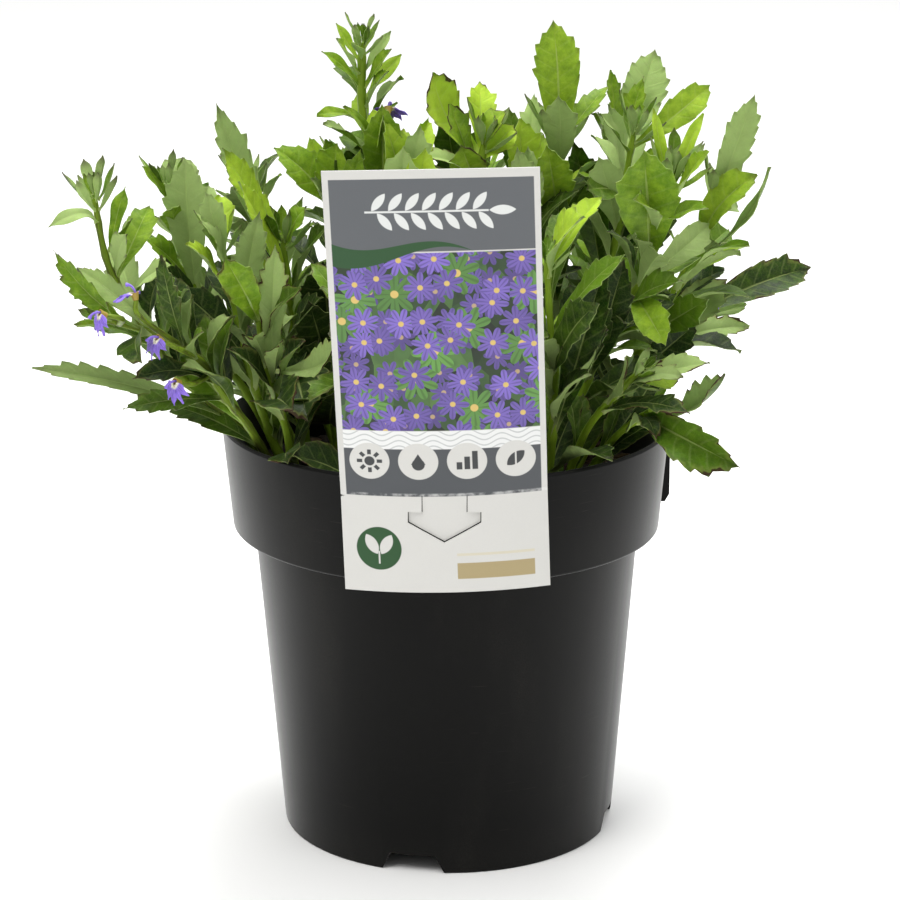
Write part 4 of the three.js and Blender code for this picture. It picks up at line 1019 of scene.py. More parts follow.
def build_stem(name, stem, settings):
    """One leafy stem: its shoot, flower tubes, leaves and bud, as one piece."""
    draw = Draw(SEEDS["stem"] + list(STEMS).index(name))
    skin = Skin()
    leaves = stem["blades"] + stem["added"] + stem["extras"]
    joints = [blade["where"] for blade in leaves]
    add_shoot(skin, stem["path"], joints, STEM_RADIUS, SHOOT_GRID, stem["dusk"], draw)
    for owner, where, middle, facing in BLOOMS:
        if owner == name:
            face, middle = unit(np.array(facing, float)), np.array(middle, float)
            tube = np.array((path_point(stem["path"], where), middle - face * 9, middle - face * 2.6))
            add_shoot(skin, tube, [0.45], TUBE_RADIUS, TUBE_GRID, 0.85, draw)
    for blade in leaves:
        add_blade(skin, blade, leaf_look(blade, stem, draw), draw, settings)
    for blade in stem["young"] + inner_blades(stem, draw):
        look = leaf_look(blade, stem, draw)
        look.update(tone=draw(0.3, 0.75), scorch=0.0, twist=draw(-8, 8), purple=draw(0.75, 1), slim=1,
                    flip=draw() < 0.3, wave=0.1, curl=draw(-0.02, 0.03),
                    tip=mix(0.82, 0.66, stem["dusk"]))
        add_blade(skin, blade, look, draw, settings)
    return skin.build(name + "_leaves")


def add_petal(skin, middle, ways, number, sizes, draw):
    """One petal of a fan: a thin ruffled sheet that widens and droops from the mouth of the tube."""
    face, down, side = ways
    azimuth = math.radians(PETAL_TURN * number + draw(-4, 4))
    out = side * math.sin(azimuth) + down * math.cos(azimuth)
    rows, columns = PETAL_GRID
    x, s = np.meshgrid(np.linspace(0, 1, rows), np.linspace(-1, 1, columns), indexing="ij")
    reach = mix(1.0, sizes.petal_length / MM, x) * draw(0.93, 1.02)
    body = (0.3 * (1 - x) + np.sin(np.pi * x ** 0.85) ** 0.75) * (1 - 0.4 * x**4)
    wide = sizes.petal_width / MM / 2 * body + 0.06
    ruffle = 0.34 * s**2 * np.sin(9 * x + 2.2 * np.sign(s) + 6.28 * draw())
    ridge = 0.22 * np.exp(-(s / 0.22) ** 2) * np.sin(np.pi * x)
    drop = -2.0 * (reach / 9) ** 2 + draw(-0.5, 0.5) * x
    spot = middle + reach[..., None] * out + (wide * s)[..., None] * np.cross(face, out)
    spot = spot + (drop + ruffle + ridge)[..., None] * face
    here = np.stack((x, np.abs(s), np.full(x.shape, draw())), axis=-1)
    thin = PETAL_HALF * face
    skin.add(both_sides(spot + thin, spot - thin), slab(*x.shape), petal_place=both_sides(here, here))


def build_fan(number, middle, facing, settings):
    """One flower's five petals, with the mouth of its tube and its curved style."""
    draw = Draw(SEEDS["bloom"] + number)
    skin = Skin()
    middle = np.array(middle, float)
    face, down, side = ways = fan_axes(facing)
    for petal in range(-2, 3):
        add_petal(skin, middle, ways, petal, settings, draw)
    sides = 16
    turn = circle(side, down, ring_turns(sides))
    rings = [middle + turn * radius + face * height for radius, height in TUBE_MOUTH]
    last = (len(rings) - 1) * sides
    closed = grid(len(rings), sides, wrap=True).tolist()
    closed += [[last + j, last + (j + 1) % sides, (j + 1) % sides, j] for j in range(sides)]
    skin.add(rings, closed, petal_place=(-0.5, 0.5, 0))
    bend = np.linspace(0, 1, 9)[:, None]
    style = middle + face * (5 * np.sin(1.5 * bend) - 1.6) + down * (3.2 * bend**2.4 - 0.6)
    radii = 0.42 + 0.4 * smooth(0.82, 0.95, bend)
    skin.add(*rod(style, radii, 8), petal_place=(0.9, 0.2, 0.5))
    return skin.build(f"fan_petals_{number}", 40)


def rounded(outline, steps=4):
    """An outline of (radius, height, corner radius) with each corner turned into an arc."""
    points = [np.array(corner[:2], float) for corner in outline]
    arcs = [points[0]]
    for before, point, after, (_, _, radius) in zip(points, points[1:], points[2:], outline[1:]):
        back, on = unit(before - point), unit(after - point)
        half_angle = math.acos(float(np.clip(back @ on, -1, 1))) / 2
        cut_back = radius / math.tan(half_angle)
        centre = point + unit(back + on) * radius / math.sin(half_angle)
        start, end = point + back * cut_back - centre, point + on * cut_back - centre
        arcs += [centre + unit(mix(start, end, k / steps)) * radius for k in range(steps + 1)]
    return arcs + [points[-1]]


def revolve(outline, sides):
    """A closed solid of revolution from an outline that starts and ends on the axis."""
    rings = [around(r, np.arange(sides) * 360 / sides, z) for r, z in outline[1:-1]]
    points = np.vstack(rings + [[(0, 0, outline[0][1])], [(0, 0, outline[-1][1])]])
    faces = grid(len(rings), sides, wrap=True).tolist()
    first, last = len(points) - 2, len(points) - 1
    top = (len(rings) - 1) * sides
    for j in range(sides):
        k = (j + 1) % sides
        faces += [[first, k, j], [last, top + j, top + k]]
    return points, faces


def prism(name, outline, start, end, place):
    """A straight solid between two copies of a flat outline; place turns (x, y, depth) into a point."""
    count = len(outline)
    points = [place(x, y, depth) for depth in (start, end) for x, y in outline]
    faces = [list(range(count))[::-1], [count + j for j in range(count)]]
    faces += [[j, (j + 1) % count, count + (j + 1) % count, count + j] for j in range(count)]
    return mended(new_piece(name, points, faces))


def mended(piece):
    """A closed piece with its faces turned so that they all point out."""
    work = bmesh.new()
    work.from_mesh(piece.data)
    bmesh.ops.recalc_face_normals(work, faces=work.faces)
    work.to_mesh(piece.data)
    work.free()
    return piece


def cut(piece, tools, operation):
    """Joins or cuts a piece with each tool in turn, and takes the tools away."""
    for tool in tools:
        step = piece.modifiers.new("step", "BOOLEAN")
        step.operation = operation
        step.solver = "EXACT"
        step.object = tool
        graph = bpy.context.evaluated_depsgraph_get()
        result = bpy.data.meshes.new_from_object(piece.evaluated_get(graph))
        piece.modifiers.clear()
        old = piece.data
        piece.data = result
        bpy.data.meshes.remove(old)
        bpy.data.objects.remove(tool)


def spaced(repeats):
    """The azimuths of a cut that repeats round the pot."""
    return [repeats["first"] + 360 / repeats["count"] * i for i in range(repeats["count"])]


def build_pot(settings):
    """The moulded tub: one smooth shell with rounded edges, foot notches, drain holes and hooks."""
    p = POT
    foot_in, wall = p["foot"] - 3, p["wall"]
    outline = [
        (0, p["floor"], 0), (foot_in - 0.4, p["floor"], 1.2), (foot_in, 0, 0.5), (p["foot"], 0, 0.7),
        (p["neck"], p["step_z"], 1.2), (p["step"], p["step_z"], 1.4), (p["rim"], p["height"] - 1.0, 0.5),
        (p["rim"] - 0.5, p["height"], 0.4), (p["rim"] - wall + 0.3, p["height"], 0.4),
        (p["step"] - wall, p["step_z"] + wall, 1.2), (p["neck"] - wall, p["step_z"] + wall, 1.2),
        (p["foot"] - wall + 0.4, p["floor"] + wall, 2.5), (0, p["floor"] + wall, 0),
    ]
    tub = mended(new_piece("nursery_pot", *revolve(rounded(outline), settings.pot_sides)))
    hooks, slots = zip(*(hook_solids(azimuth) for azimuth in POCKET["azimuths"]))
    cut(tub, hooks, "UNION")
    notches = [notch_solid(azimuth) for azimuth in spaced(NOTCH)]
    drains = [drain_solid(azimuth) for azimuth in spaced(DRAIN)]
    cut(tub, [*slots, *notches, *drains], "DIFFERENCE")
    press(tub)
    return shaded(tub, 32)


def radial(azimuth):
    """Places (across, height, radius) at an azimuth of the pot."""
    out = around(1, azimuth, 0)
    side = np.array((-out[1], out[0], 0))
    return lambda across, z, radius: out * radius + side * across + np.array((0, 0, z))


def press(piece):
    """Presses the soft rim in a little where its side hook flattens it."""
    x, y, z = np.array([vertex.co for vertex in piece.data.vertices]).T / MM
    past = np.degrees(np.arctan2(x, -y)) - PRESS["azimuth"]
    share = PRESS["depth"] * np.exp(-(past / PRESS["spread"]) ** 2) * smooth(PRESS["low"], PRESS["high"], z)
    places = np.stack((x * (1 - share), y * (1 - share), z), axis=-1) * MM
    piece.data.vertices.foreach_set("co", places.astype(np.float32).ravel())
    piece.data.update()


def mid_rim(z):
    """The radius of the middle of the rim's wall at a height."""
    share = (z - POT["step_z"]) / (POT["height"] - POT["step_z"])
    return mix(POT["step"], POT["rim"], share) - POT["wall"] / 2


def hook_solids(azimuth):
    """A label hook on the rim, and the slot that is cut down behind its face."""
    place = radial(azimuth)
    face = POT["rim"] + POCKET["proud"]
    half, bevel = POCKET["wide"] / 2, POCKET["bevel"]
    bottom, top = POCKET["bottom"], POCKET["top"]
    side = [(mid_rim(bottom), bottom), (face - 2, bottom), (face, bottom + 3), (face, top - bevel),
            (face - bevel, top), (mid_rim(top), top)]
    hook = prism("hook", side, -half, half, lambda radius, z, across: place(across, z, radius))
    in_slot = half - 2
    opening = [(-in_slot, top - 21), (in_slot, top - 21), (in_slot, top + 1), (-in_slot, top + 1)]
    return hook, prism("slot", opening, face - 2 * POCKET["slot"], face - POCKET["slot"], place)


def notch_solid(azimuth):
    """The cutter of one foot notch, which narrows upwards."""
    low, high = NOTCH["bottom"] / 2, NOTCH["top"] / 2
    shape = [(-low, -1), (low, -1), (high, NOTCH["height"]), (-high, NOTCH["height"])]
    return prism("notch", shape, POT["foot"] - 11, POT["foot"] + 9, radial(azimuth))


def drain_solid(azimuth):
    """The cutter of one round drain hole in the floor."""
    middle = around(DRAIN["reach"], azimuth, 0)
    ring = [(DRAIN["radius"] * math.cos(a), DRAIN["radius"] * math.sin(a)) for a in ring_turns(28)]
    return prism("drain", ring, POT["floor"] - 2, POT["floor"] + 5, lambda *shift: middle + np.array(shift))


def tongue_outline():
    """The cut line round the label's arrow tongue, from one side of its neck to the other."""
    t = TONGUE
    neck, shoulder = t["neck"] / 2, t["shoulder"] / 2
    half = [(neck, t["top"]), (neck, t["throat"]), (shoulder, t["throat"]), (shoulder, t["side"])]
    return half + [(0, t["tip"])] + [(-x, z) for x, z in half[::-1]]


def upright(x, z, y):
    """Places a flat outline that faces the front."""
    return np.array((x, y, z))


def build_label(settings):
    """The card: bent and bowed, with a nick in its edge and an arrow tongue pushed back."""
    side = CARD["wide"] / 2
    rows, columns = CARD_GRID
    a, h = np.meshgrid(np.linspace(-side, side, columns), np.linspace(CARD["foot"], CARD["head"], rows))
    thick = settings.card_thickness / MM
    warp = card_warp(a, h)
    points = both_sides(card_point(a, h, warp), card_point(a, h, warp + thick))
    card = mended(new_piece("hanging_label", points, slab(*a.shape)))
    outline = tongue_outline()
    shift = LEAN["shift"] * 0.2
    tools = [slit_solid(start, end, shift) for start, end in zip(outline, outline[1:])]
    edge = LEAN["shift"] * 0.22 - side
    nick = [(edge + across, z) for across, z in NICK]
    tools.append(prism("nick", nick, *NICK_REACH, upright))
    cut(card, tools, "DIFFERENCE")
    mark_card(card, thick)
    push_tongue(card, shift, settings.tongue_push / MM)
    return shaded(card, 35)


def slit_solid(start, end, shift):
    """A thin straight cutter along one edge of the tongue."""
    way = unit(np.subtract(end, start))
    side, reach = np.array((-way[1], way[0])) * SLIT_WIDE / 2, way * SLIT_WIDE / 2
    first, last = np.array(start) + (shift, 0) - reach, np.array(end) + (shift, 0) + reach
    corners = [first - side, last - side, last + side, first + side]
    return prism("slit", corners, *SLIT_REACH, upright)


def push_tongue(card, shift, push):
    """Presses the tongue back behind the card, more towards its tip."""
    t = TONGUE
    for vertex in card.data.vertices:
        x, z = abs(vertex.co.x / MM - shift), vertex.co.z / MM
        in_neck = x < t["neck"] / 2 and t["throat"] - 0.3 <= z <= t["top"]
        slope = (z - t["tip"]) / (t["side"] - t["tip"])
        in_head = z < t["throat"] and x < min(1, slope) * t["shoulder"] / 2
        if in_neck or in_head:
            vertex.co.y += push * MM * float(smooth(t["top"], t["throat"] - 2, z))


def mark_card(card, thick):
    """Stores where each point lies on the flat card: across it, up from its foot, and 1 on the front."""
    places = []
    for vertex in card.data.vertices:
        x, z = vertex.co.x / MM, vertex.co.z / MM
        across = x
        for _ in range(3):
            flat_z = z - LEAN["tilt"] * across
            across = x - LEAN["shift"] * (flat_z - CARD["foot"]) / (CARD["head"] - CARD["foot"])
        middle = card_point(across, flat_z, card_warp(across, flat_z) + thick / 2)
        front = 1.0 if vertex.co.y / MM < middle[1] else 0.0
        places.append((across, flat_z - CARD["foot"], front))
    store(card.data, "card_place", places)


def card_warp(across, z):
    """Slight waves in the card, none at its foot."""
    return 0.35 * np.sin(0.05 * z + 0.06 * across) * (z - CARD["foot"]) / WARP_RISE


def soil_edge(z):
    """The soil's radius at a height: a little inside the pot's wall."""
    step = POT["step_z"] + POT["wall"]
    if z > step:
        low, high = step, POT["height"]
        bottom, top = POT["step"] - POT["wall"], POT["rim"] - POT["wall"] + 0.4
    else:
        low, high = POT["floor"] + POT["wall"], step
        bottom, top = POT["foot"] - POT["wall"] + 0.4, POT["neck"] - POT["wall"]
    return mix(bottom, top, (z - low) / (high - low)) - 0.6


def soil_height(x, y):
    """The lumpy top of the soil, a little higher in the middle."""
    lumps = sum(rise * noise.noise((x / size, y / size, layer)) for rise, size, layer in SOIL_LUMPS)
    return SOIL_TOP + 3 * (1 - (math.hypot(x, y) / 86) ** 2) - 0.6 + lumps


def build_soil(settings):
    """Potting soil: a plug with a crumbled top, bark chips, fibres and a few pale grains."""
    draw = Draw(SEEDS["soil"])
    skin = Skin()
    step = POT["step_z"] + POT["wall"]
    low = POT["floor"] + POT["wall"] + 0.4
    walls = [(soil_edge(low), low), (soil_edge(step - 1), step + 0.4), (soil_edge(step + 1), step + 0.4),
             (soil_edge(SOIL_TOP), SOIL_TOP - 2)]
    azimuths = np.arange(SOIL_SIDES) * 360 / SOIL_SIDES
    rings = [around(r, azimuths, z) for r, z in walls]
    for r in np.linspace(soil_edge(SOIL_TOP) - 0.5, 1.2, SOIL_RINGS):
        ring = around(r, azimuths, 0.0)
        ring[:, 2] = [soil_height(x, y) for x, y, _ in ring]
        rings.append(ring)
    skin.add(rings, capped(len(rings), SOIL_SIDES), grain_look=(0, 0, 0))
    for _ in range(settings.chip_count):
        add_chip(skin, draw, settings)
    for _ in range(settings.fibre_count):
        add_fibre(skin, draw)
    plug = skin.build("potting_soil", 40)
    press(plug)
    return plug


def scattered(draw):
    """A place on the soil, evenly spread over its disc."""
    r = math.sqrt(draw()) * (soil_edge(SOIL_TOP) - 4)
    a = draw(0, 2 * math.pi)
    return r * math.cos(a), r * math.sin(a)


def add_chip(skin, draw, settings):
    """One bark chip or crumb: a rough block with uneven corners, lying on the soil."""
    x, y = scattered(draw)
    size = settings.chip_size / MM * draw(0.3, 1) ** 1.3
    half = np.array((size, size * draw(0.35, 0.7), size * draw(0.15, 0.35))) / 2
    turn, tilt = draw(0, 360), draw(-24, 24)
    points = []
    for lift, wide in CHIP_RINGS:
        for a in ring_turns(CHIP_SIDES):
            reach = wide * draw(0.78, 1.18)
            points.append(half * np.array((math.cos(a) * reach, math.sin(a) * reach, lift)))
    axis = np.array((math.cos(turn), math.sin(turn), 0))
    spot = np.array((x, y, soil_height(x, y) + half[2] * 0.7))
    points = [turned(turned(point, UP, turn), axis, tilt) + spot for point in points]
    pale = draw() < PALE_SHARE
    skin.add(points, capped(len(CHIP_RINGS), CHIP_SIDES), grain_look=(1, draw(), pale))


def add_fibre(skin, draw):
    """One coir fibre that curls along the soil."""
    x, y = scattered(draw)
    way, long = draw(0, 6.28), draw(5, 16)
    bend = draw(-2, 2)
    line = []
    for s in np.linspace(0, 1, 8):
        px = x + long * s * math.cos(way + bend * s)
        py = y + long * s * math.sin(way + bend * s)
        if math.hypot(px, py) > soil_edge(SOIL_TOP) - 2:
            break
        line.append((px, py, soil_height(px, py) + 0.35 + 1.6 * math.sin(math.pi * s) * draw(0.2, 1)))
    if len(line) > 3:
        skin.add(*rod(line, 0.22, 5), grain_look=(1, 0.95, 0))


class Value:
    """A number from a node's socket: sums written on it add Math nodes."""

    def __init__(self, finish, socket):
        self.finish = finish
        self.socket = socket

    def maths(self, operation, *others):
        return self.finish.node("Math", {"operation": operation}, dict(enumerate((self, *others))))

    def __add__(self, other):
        return self.maths("ADD", other)

    __radd__ = __add__

    def __sub__(self, other):
        return self.maths("SUBTRACT", other)

    def __rsub__(self, other):
        return self.finish.node("Math", {"operation": "SUBTRACT"}, {0: other, 1: self})

    def __mul__(self, other):
        return self.maths("MULTIPLY", other)

    __rmul__ = __mul__

    def __truediv__(self, other):
        return self.maths("DIVIDE", other)

    def __pow__(self, other):
        return self.maths("POWER", other)

    def most(self, other):
        return self.maths("MAXIMUM", other)

    def size(self):
        return self.maths("ABSOLUTE")

    def sine(self):
        return self.maths("SINE")

    def to_line(self, step=1.0):
        """The distance to the nearest whole number of steps."""
        return self.maths("PINGPONG", step / 2)

    def rise(self, low, high, start=0.0, end=1.0):
        """A smooth step from start below low to end above high; it falls where high is the lower one."""
        values = {"Value": self, "From Min": low, "From Max": high, "To Min": start, "To Max": end}
        return self.finish.node("MapRange", {"interpolation_type": "SMOOTHSTEP"}, values)


class Finish:
    """The nodes of one material or sky: each is made here, and what it gives comes back as a Value."""

    def __init__(self, owner):
        self.owner = owner
        owner.use_nodes = True
        self.tree = owner.node_tree
        self.tree.nodes.clear()

    def node(self, kind, settings=None, values=None, output=0):
        made = self.tree.nodes.new("ShaderNode" + kind)
        for setting, value in (settings or {}).items():
            if setting == "stops":
                set_stops(made.color_ramp, value)
            else:
                setattr(made, setting, value)
        for name, value in (values or {}).items():
            socket = made.inputs[name]
            if isinstance(value, Value):
                self.tree.links.new(value.socket, socket)
            elif isinstance(value, (tuple, list)) and socket.type == "RGBA":
                socket.default_value = tuple(value)[:3] + (1,)
            else:
                socket.default_value = value
        return Value(self, made.outputs[output]) if made.outputs else None

    def others(self, value, *outputs):
        """More outputs of the node that a value comes from."""
        return [Value(self, value.socket.node.outputs[output]) for output in outputs]

    def parts(self, vector):
        return self.others(self.node("SeparateXYZ", values={0: vector}), 0, 1, 2)

    def field(self, name):
        """The three numbers of a mesh's stored field."""
        return self.parts(self.node("Attribute", {"attribute_name": name}, output="Vector"))

    def vector(self, x, y, z=0.0):
        return self.node("CombineXYZ", values={0: x, 1: y, 2: z})

    def place(self):
        return self.node("TexCoord", output="Object")

    def mix(self, base, over, share):
        """One colour laid over another by a share."""
        return self.node("Mix", {"data_type": "RGBA"}, {0: share, 6: base, 7: over}, 2)

    def shade(self, colour, share):
        """A colour made lighter or darker by a number."""
        grey = self.node("CombineColor", values={0: share, 1: share, 2: share})
        settings = {"data_type": "RGBA", "blend_type": "MULTIPLY"}
        return self.node("Mix", settings, {0: 1.0, 6: colour, 7: grey}, 2)

    def noise(self, where, scale, detail=3.0):
        values = {"Vector": where, "Scale": scale, "Detail": detail, "Roughness": 0.55}
        return self.node("TexNoise", values=values)

    def drawn_out(self, where, scale, detail):
        """Noise with a scale of its own along each axis."""
        return self.noise(self.node("Mapping", values={"Vector": where, "Scale": scale}), 1.0, detail)

    def cells(self, where, scale, **settings):
        return self.node("TexVoronoi", settings, {"Vector": where, "Scale": scale})

    def ramp(self, share, *stops):
        return self.node("ValToRGB", {"stops": stops}, {0: share})

    def bump(self, height, strength, distance):
        return self.node("Bump", values={"Height": height, "Strength": strength, "Distance": distance})

    def turn(self, x, y):
        """The turn of a way across a flat design, in radians."""
        return self.node("Math", {"operation": "ARCTAN2"}, {0: y, 1: x})

    def done(self, **sockets):
        """The material with its shader; each name is a socket of the shader."""
        values = {name.replace("_", " "): value for name, value in sockets.items()}
        self.node("OutputMaterial", values={"Surface": self.node("BsdfPrincipled", values=values)})
        return self.owner


def set_stops(ramp, stops):
    """Gives a colour ramp its stops, as (place, colour)."""
    while len(ramp.elements) < len(stops):
        ramp.elements.new(0.5)
    for element, (place, colour) in zip(ramp.elements, stops):
        element.position = place
        element.color = tuple(colour)[:3] + (1,)


def tint(red, green, blue):
    """A colour as a screen shows it, 0 to 255, turned into light."""
    return tuple(((c / 255 + 0.055) / 1.055) ** 2.4 if c > 10 else c / 3294.6 for c in (red, green, blue))


def dimmed(colour, share):
    return tuple(c * share for c in colour)


def leaf_finish(plant):
    """Leaves and shoots: tones from lime to dark green, pale veins, grey undersides, browned edges."""
    f = Finish(bpy.data.materials.new("fan_flower_foliage"))
    along, across, vein = f.field("leaf_place")
    tone, scorch, purple = f.field("leaf_look")
    upper, shoot, seed = f.field("leaf_kind")
    where = f.place()
    veins, purples = plant.vein_colour[:], plant.purple_colour[:]
    underside, stem = plant.underside_colour[:], plant.stem_colour[:]

    blotch = f.noise(where, 260.0)
    # The tone that each leaf carries holds painted shade as well: darker for leaves low in the plant and for
    # those given the dark look.
    shade = tone + (blotch - 0.5) * 0.5 + (f.noise(where, 1400.0, 2.0) - 0.5) * 0.16
    top = f.ramp(shade, (0.0, plant.young_colour), (0.45, plant.leaf_colour), (1.0, plant.old_colour))
    back = f.ramp(shade, (0.05, dimmed(underside, 0.9)), (0.95, dimmed(underside, 0.52)))
    leaf_colour = f.mix(back, top, upper)

    rib = (1.0 - (across / (0.1 - 0.07 * along)).rise(0.45, 1.0)) * along.rise(1.0, 0.75)
    side_vein = vein.to_line().rise(0.11, 0.02) * across.rise(0.02, 0.14) * across.rise(0.98, 0.7)
    side_vein = side_vein * along.rise(0.02, 0.16)
    net = f.cells(where, 620.0, feature="DISTANCE_TO_EDGE").rise(0.09, 0.0)
    pale = f.mix(veins, underside, 1.0 - upper)
    leaf_colour = f.mix(leaf_colour, pale, (rib * 0.34).most(side_vein * 0.08) + net * 0.05)
    leaf_colour = f.mix(leaf_colour, veins, across.rise(0.93, 1.0) * 0.16)
    leaf_colour = f.mix(leaf_colour, veins, along.rise(0.16, 0.0) * 0.45)

    rim = across ** 3.5 * along.rise(0.1, 0.4)
    patch = f.noise(where, 120.0, 2.0)
    eaten = rim * 0.62 + along.rise(0.78, 1.0) * 0.3 + (patch - 0.5) * 1.7 + (blotch - 0.5) * 0.5
    old = scorch.rise(0.12, 0.4)
    burnt = eaten.rise(0.62, 0.74) * old
    leaf_colour = f.mix(leaf_colour, tint(142, 146, 74), eaten.rise(0.34, 0.66) * old * 0.35)
    leaf_colour = f.mix(leaf_colour, plant.scorch_colour[:], burnt)
    leaf_colour = f.mix(leaf_colour, purples, purple * 0.8)

    fibres = f.noise(f.vector((across - 0.5).size() * 7.0, along * 9.0, seed * 40.0), 1.0)
    stalk = f.mix(stem, dimmed(stem, 0.6), fibres.rise(0.3, 0.7) * 0.5)
    streak = (fibres * 0.7 + scorch * 0.5 - along * 0.12).rise(0.58, 0.95)
    stalk = f.mix(stalk, purples, streak * 0.85)
    all_over = f.shade(f.mix(leaf_colour, stalk, shoot), 0.96 + (seed - 0.5) * 0.16)

    rough = f.noise(where, 700.0) * 0.14 + 0.6 - upper * 0.22 + burnt * 0.2 - shoot * 0.03
    lines = (rib * 0.5).most(side_vein * 0.5)
    height = f.cells(where, 2600.0) * 0.22 + f.noise(where, 420.0) * 0.6
    height = height - lines * upper + lines * (1.0 - upper) * 0.8
    normal = f.bump(height + fibres * shoot * 0.4, 0.55, 0.00022)
    return f.done(Base_Color=all_over, Roughness=rough, Normal=normal, Subsurface_Weight=0.1,
                  Subsurface_Radius=(0.4, 1.0, 0.15), Subsurface_Scale=0.0012, Specular_IOR_Level=0.15)


def petal_finish(flower):
    """Petals: violet, darker along three lines, pale at the foot and yellow in the throat."""
    f = Finish(bpy.data.materials.new("fan_flower_petal"))
    along, across, seed = f.field("petal_place")
    where = f.place()
    petal = flower.petal_colour[:]
    shown = f.mix(petal, dimmed(petal, 0.62), f.noise(where, 500.0).rise(0.35, 0.75) * 0.6)
    line = across.rise(0.16, 0.03).most((across - 0.5).size().rise(0.09, 0.02) * 0.6)
    shown = f.mix(shown, flower.line_colour[:], line * along.rise(0.95, 0.6) * along.rise(0.1, 0.3) * 0.7)
    shown = f.mix(shown, tint(240, 236, 214), along.rise(0.24, 0.08))
    shown = f.mix(shown, flower.throat_colour[:], along.rise(0.08, -0.1))
    fold = f.noise(f.vector(across * 9.0, along * 1.4, seed * 5.0), 1.0, 2.0) - 0.5
    vein = (across * 7.0 + fold * 0.4).to_line() * 2.0
    normal = f.bump(vein * 0.6 + f.noise(where, 1800.0) * 0.4, 0.5, 0.00012)
    return f.done(Base_Color=shown, Roughness=f.noise(where, 900.0) * 0.12 + 0.5, Normal=normal,
                  Subsurface_Weight=0.15, Subsurface_Radius=(0.6, 0.4, 1.0), Subsurface_Scale=0.001)


def together(masks):
    """One mask that covers what any of the masks covers."""
    return functools.reduce(Value.most, masks)


class Print:
    """Shapes printed on the card, each a mask with a soft edge, in millimetres across and up the card."""

    def __init__(self, finish, across, up):
        self.f = finish
        self.x = across
        self.y = up

    def inside(self, distance):
        """1 where a signed distance into a shape is positive."""
        return distance.rise(-PRINT_SOFT, PRINT_SOFT)

    def reach(self, x, y):
        dx, dy = self.x - x, self.y - y
        return (dx * dx + dy * dy) ** 0.5

    def disc(self, x, y, radius):
        return self.inside(radius - self.reach(x, y))

    def box(self, left, right, low, high):
        wide = self.inside((right - left) / 2 - (self.x - (left + right) / 2).size())
        return wide * self.inside((high - low) / 2 - (self.y - (low + high) / 2).size())

    def panel(self, name):
        """A box over the whole width of the print."""
        return self.box(-PRINT_SIDE, PRINT_SIDE, *PANELS[name])

    def leaf(self, x, y, long, wide, degrees):
        """A leaf with pointed ends: where two discs overlap."""
        radius = (long**2 + wide**2) / (4 * wide)
        a = math.radians(degrees)
        right, up = (radius - wide / 2) * math.sin(a), (radius - wide / 2) * math.cos(a)
        return self.disc(x - right, y + up, radius) * self.disc(x + right, y - up, radius)

    def daisies(self, step, size, turn, shift):
        """Flowers with eight petals on a loose grid: masks of petals, dark lines and eyes, and a shade."""
        f = self.f
        where = f.vector((self.x + shift) / step, (self.y - shift * 0.6) / step)
        values = {"Vector": where, "Scale": 1.0, "Randomness": 0.72}
        spots = f.node("TexVoronoi", {"voronoi_dimensions": "2D"}, values)
        centre, drawn = f.others(spots, "Position", "Color")
        dx, dy, _ = f.parts(f.node("VectorMath", {"operation": "SUBTRACT"}, {0: where, 1: centre}))
        shade, _, spin = f.parts(drawn)
        reach = spots * step
        petal = ((f.turn(dx, dy) + spin * 3.0 + turn) * (8 / (2 * math.pi))).to_line() * 2.0
        edge = size * (1.0 - (petal ** 2.2) * 0.62)
        petals = self.inside(edge - reach)
        lines = petal.rise(0.3, 0.05) * petals
        return petals, lines, self.inside(size * 0.17 - reach), shade


def sun_sign(art, x, y):
    """A disc with eight short rays."""
    reach = art.reach(x, y)
    thin = (art.f.turn(art.x - x, art.y - y) * (8 / (2 * math.pi))).to_line() * reach
    rays = art.inside(0.9 - thin) * art.inside(reach - 2.7) * art.inside(4.7 - reach)
    return art.disc(x, y, 1.9).most(rays)


def drop_sign(art, x, y):
    """A water drop: round below, pointed above."""
    size = 3.6
    middle = y + 0.2 - size * 0.4
    up = art.y - middle
    narrow = (art.x - x).size() + up * 0.62 - size * 0.75
    cone = art.inside(0.0 - narrow) * art.inside(up)
    return cone.most(art.disc(x, middle, size * 0.66))


def bars_sign(art, x, y):
    """Three bars, each taller than the one before."""
    wide, step, rise = 2.1, 2.9, 2.2
    left, low, high = x - 3.9, y - 3.4, y - 0.4
    return together(art.box(left + step * i, left + step * i + wide, low, high + rise * i) for i in range(3))


def leaf_sign(art, x, y):
    """A leaf that is parted along its midrib."""
    return art.leaf(x, y + 0.2, 8.6, 4.4, 40) * (1.0 - art.box(x - 0.3, x + 0.3, y - 8, y + 8))


def sprig(art):
    """A sprig with seven pairs of leaves and one at its tip."""
    masks = [art.box(-24, 20, 149.2, 149.9)]
    for i in range(7):
        masks += [art.leaf(-19 + 6 * i, 153.2, 8.2, 3.1, 52), art.leaf(-17 + 6 * i, 145.9, 8.2, 3.1, -52)]
    return together([*masks, art.leaf(25, 149.6, 9.5, 3.6, 0)])


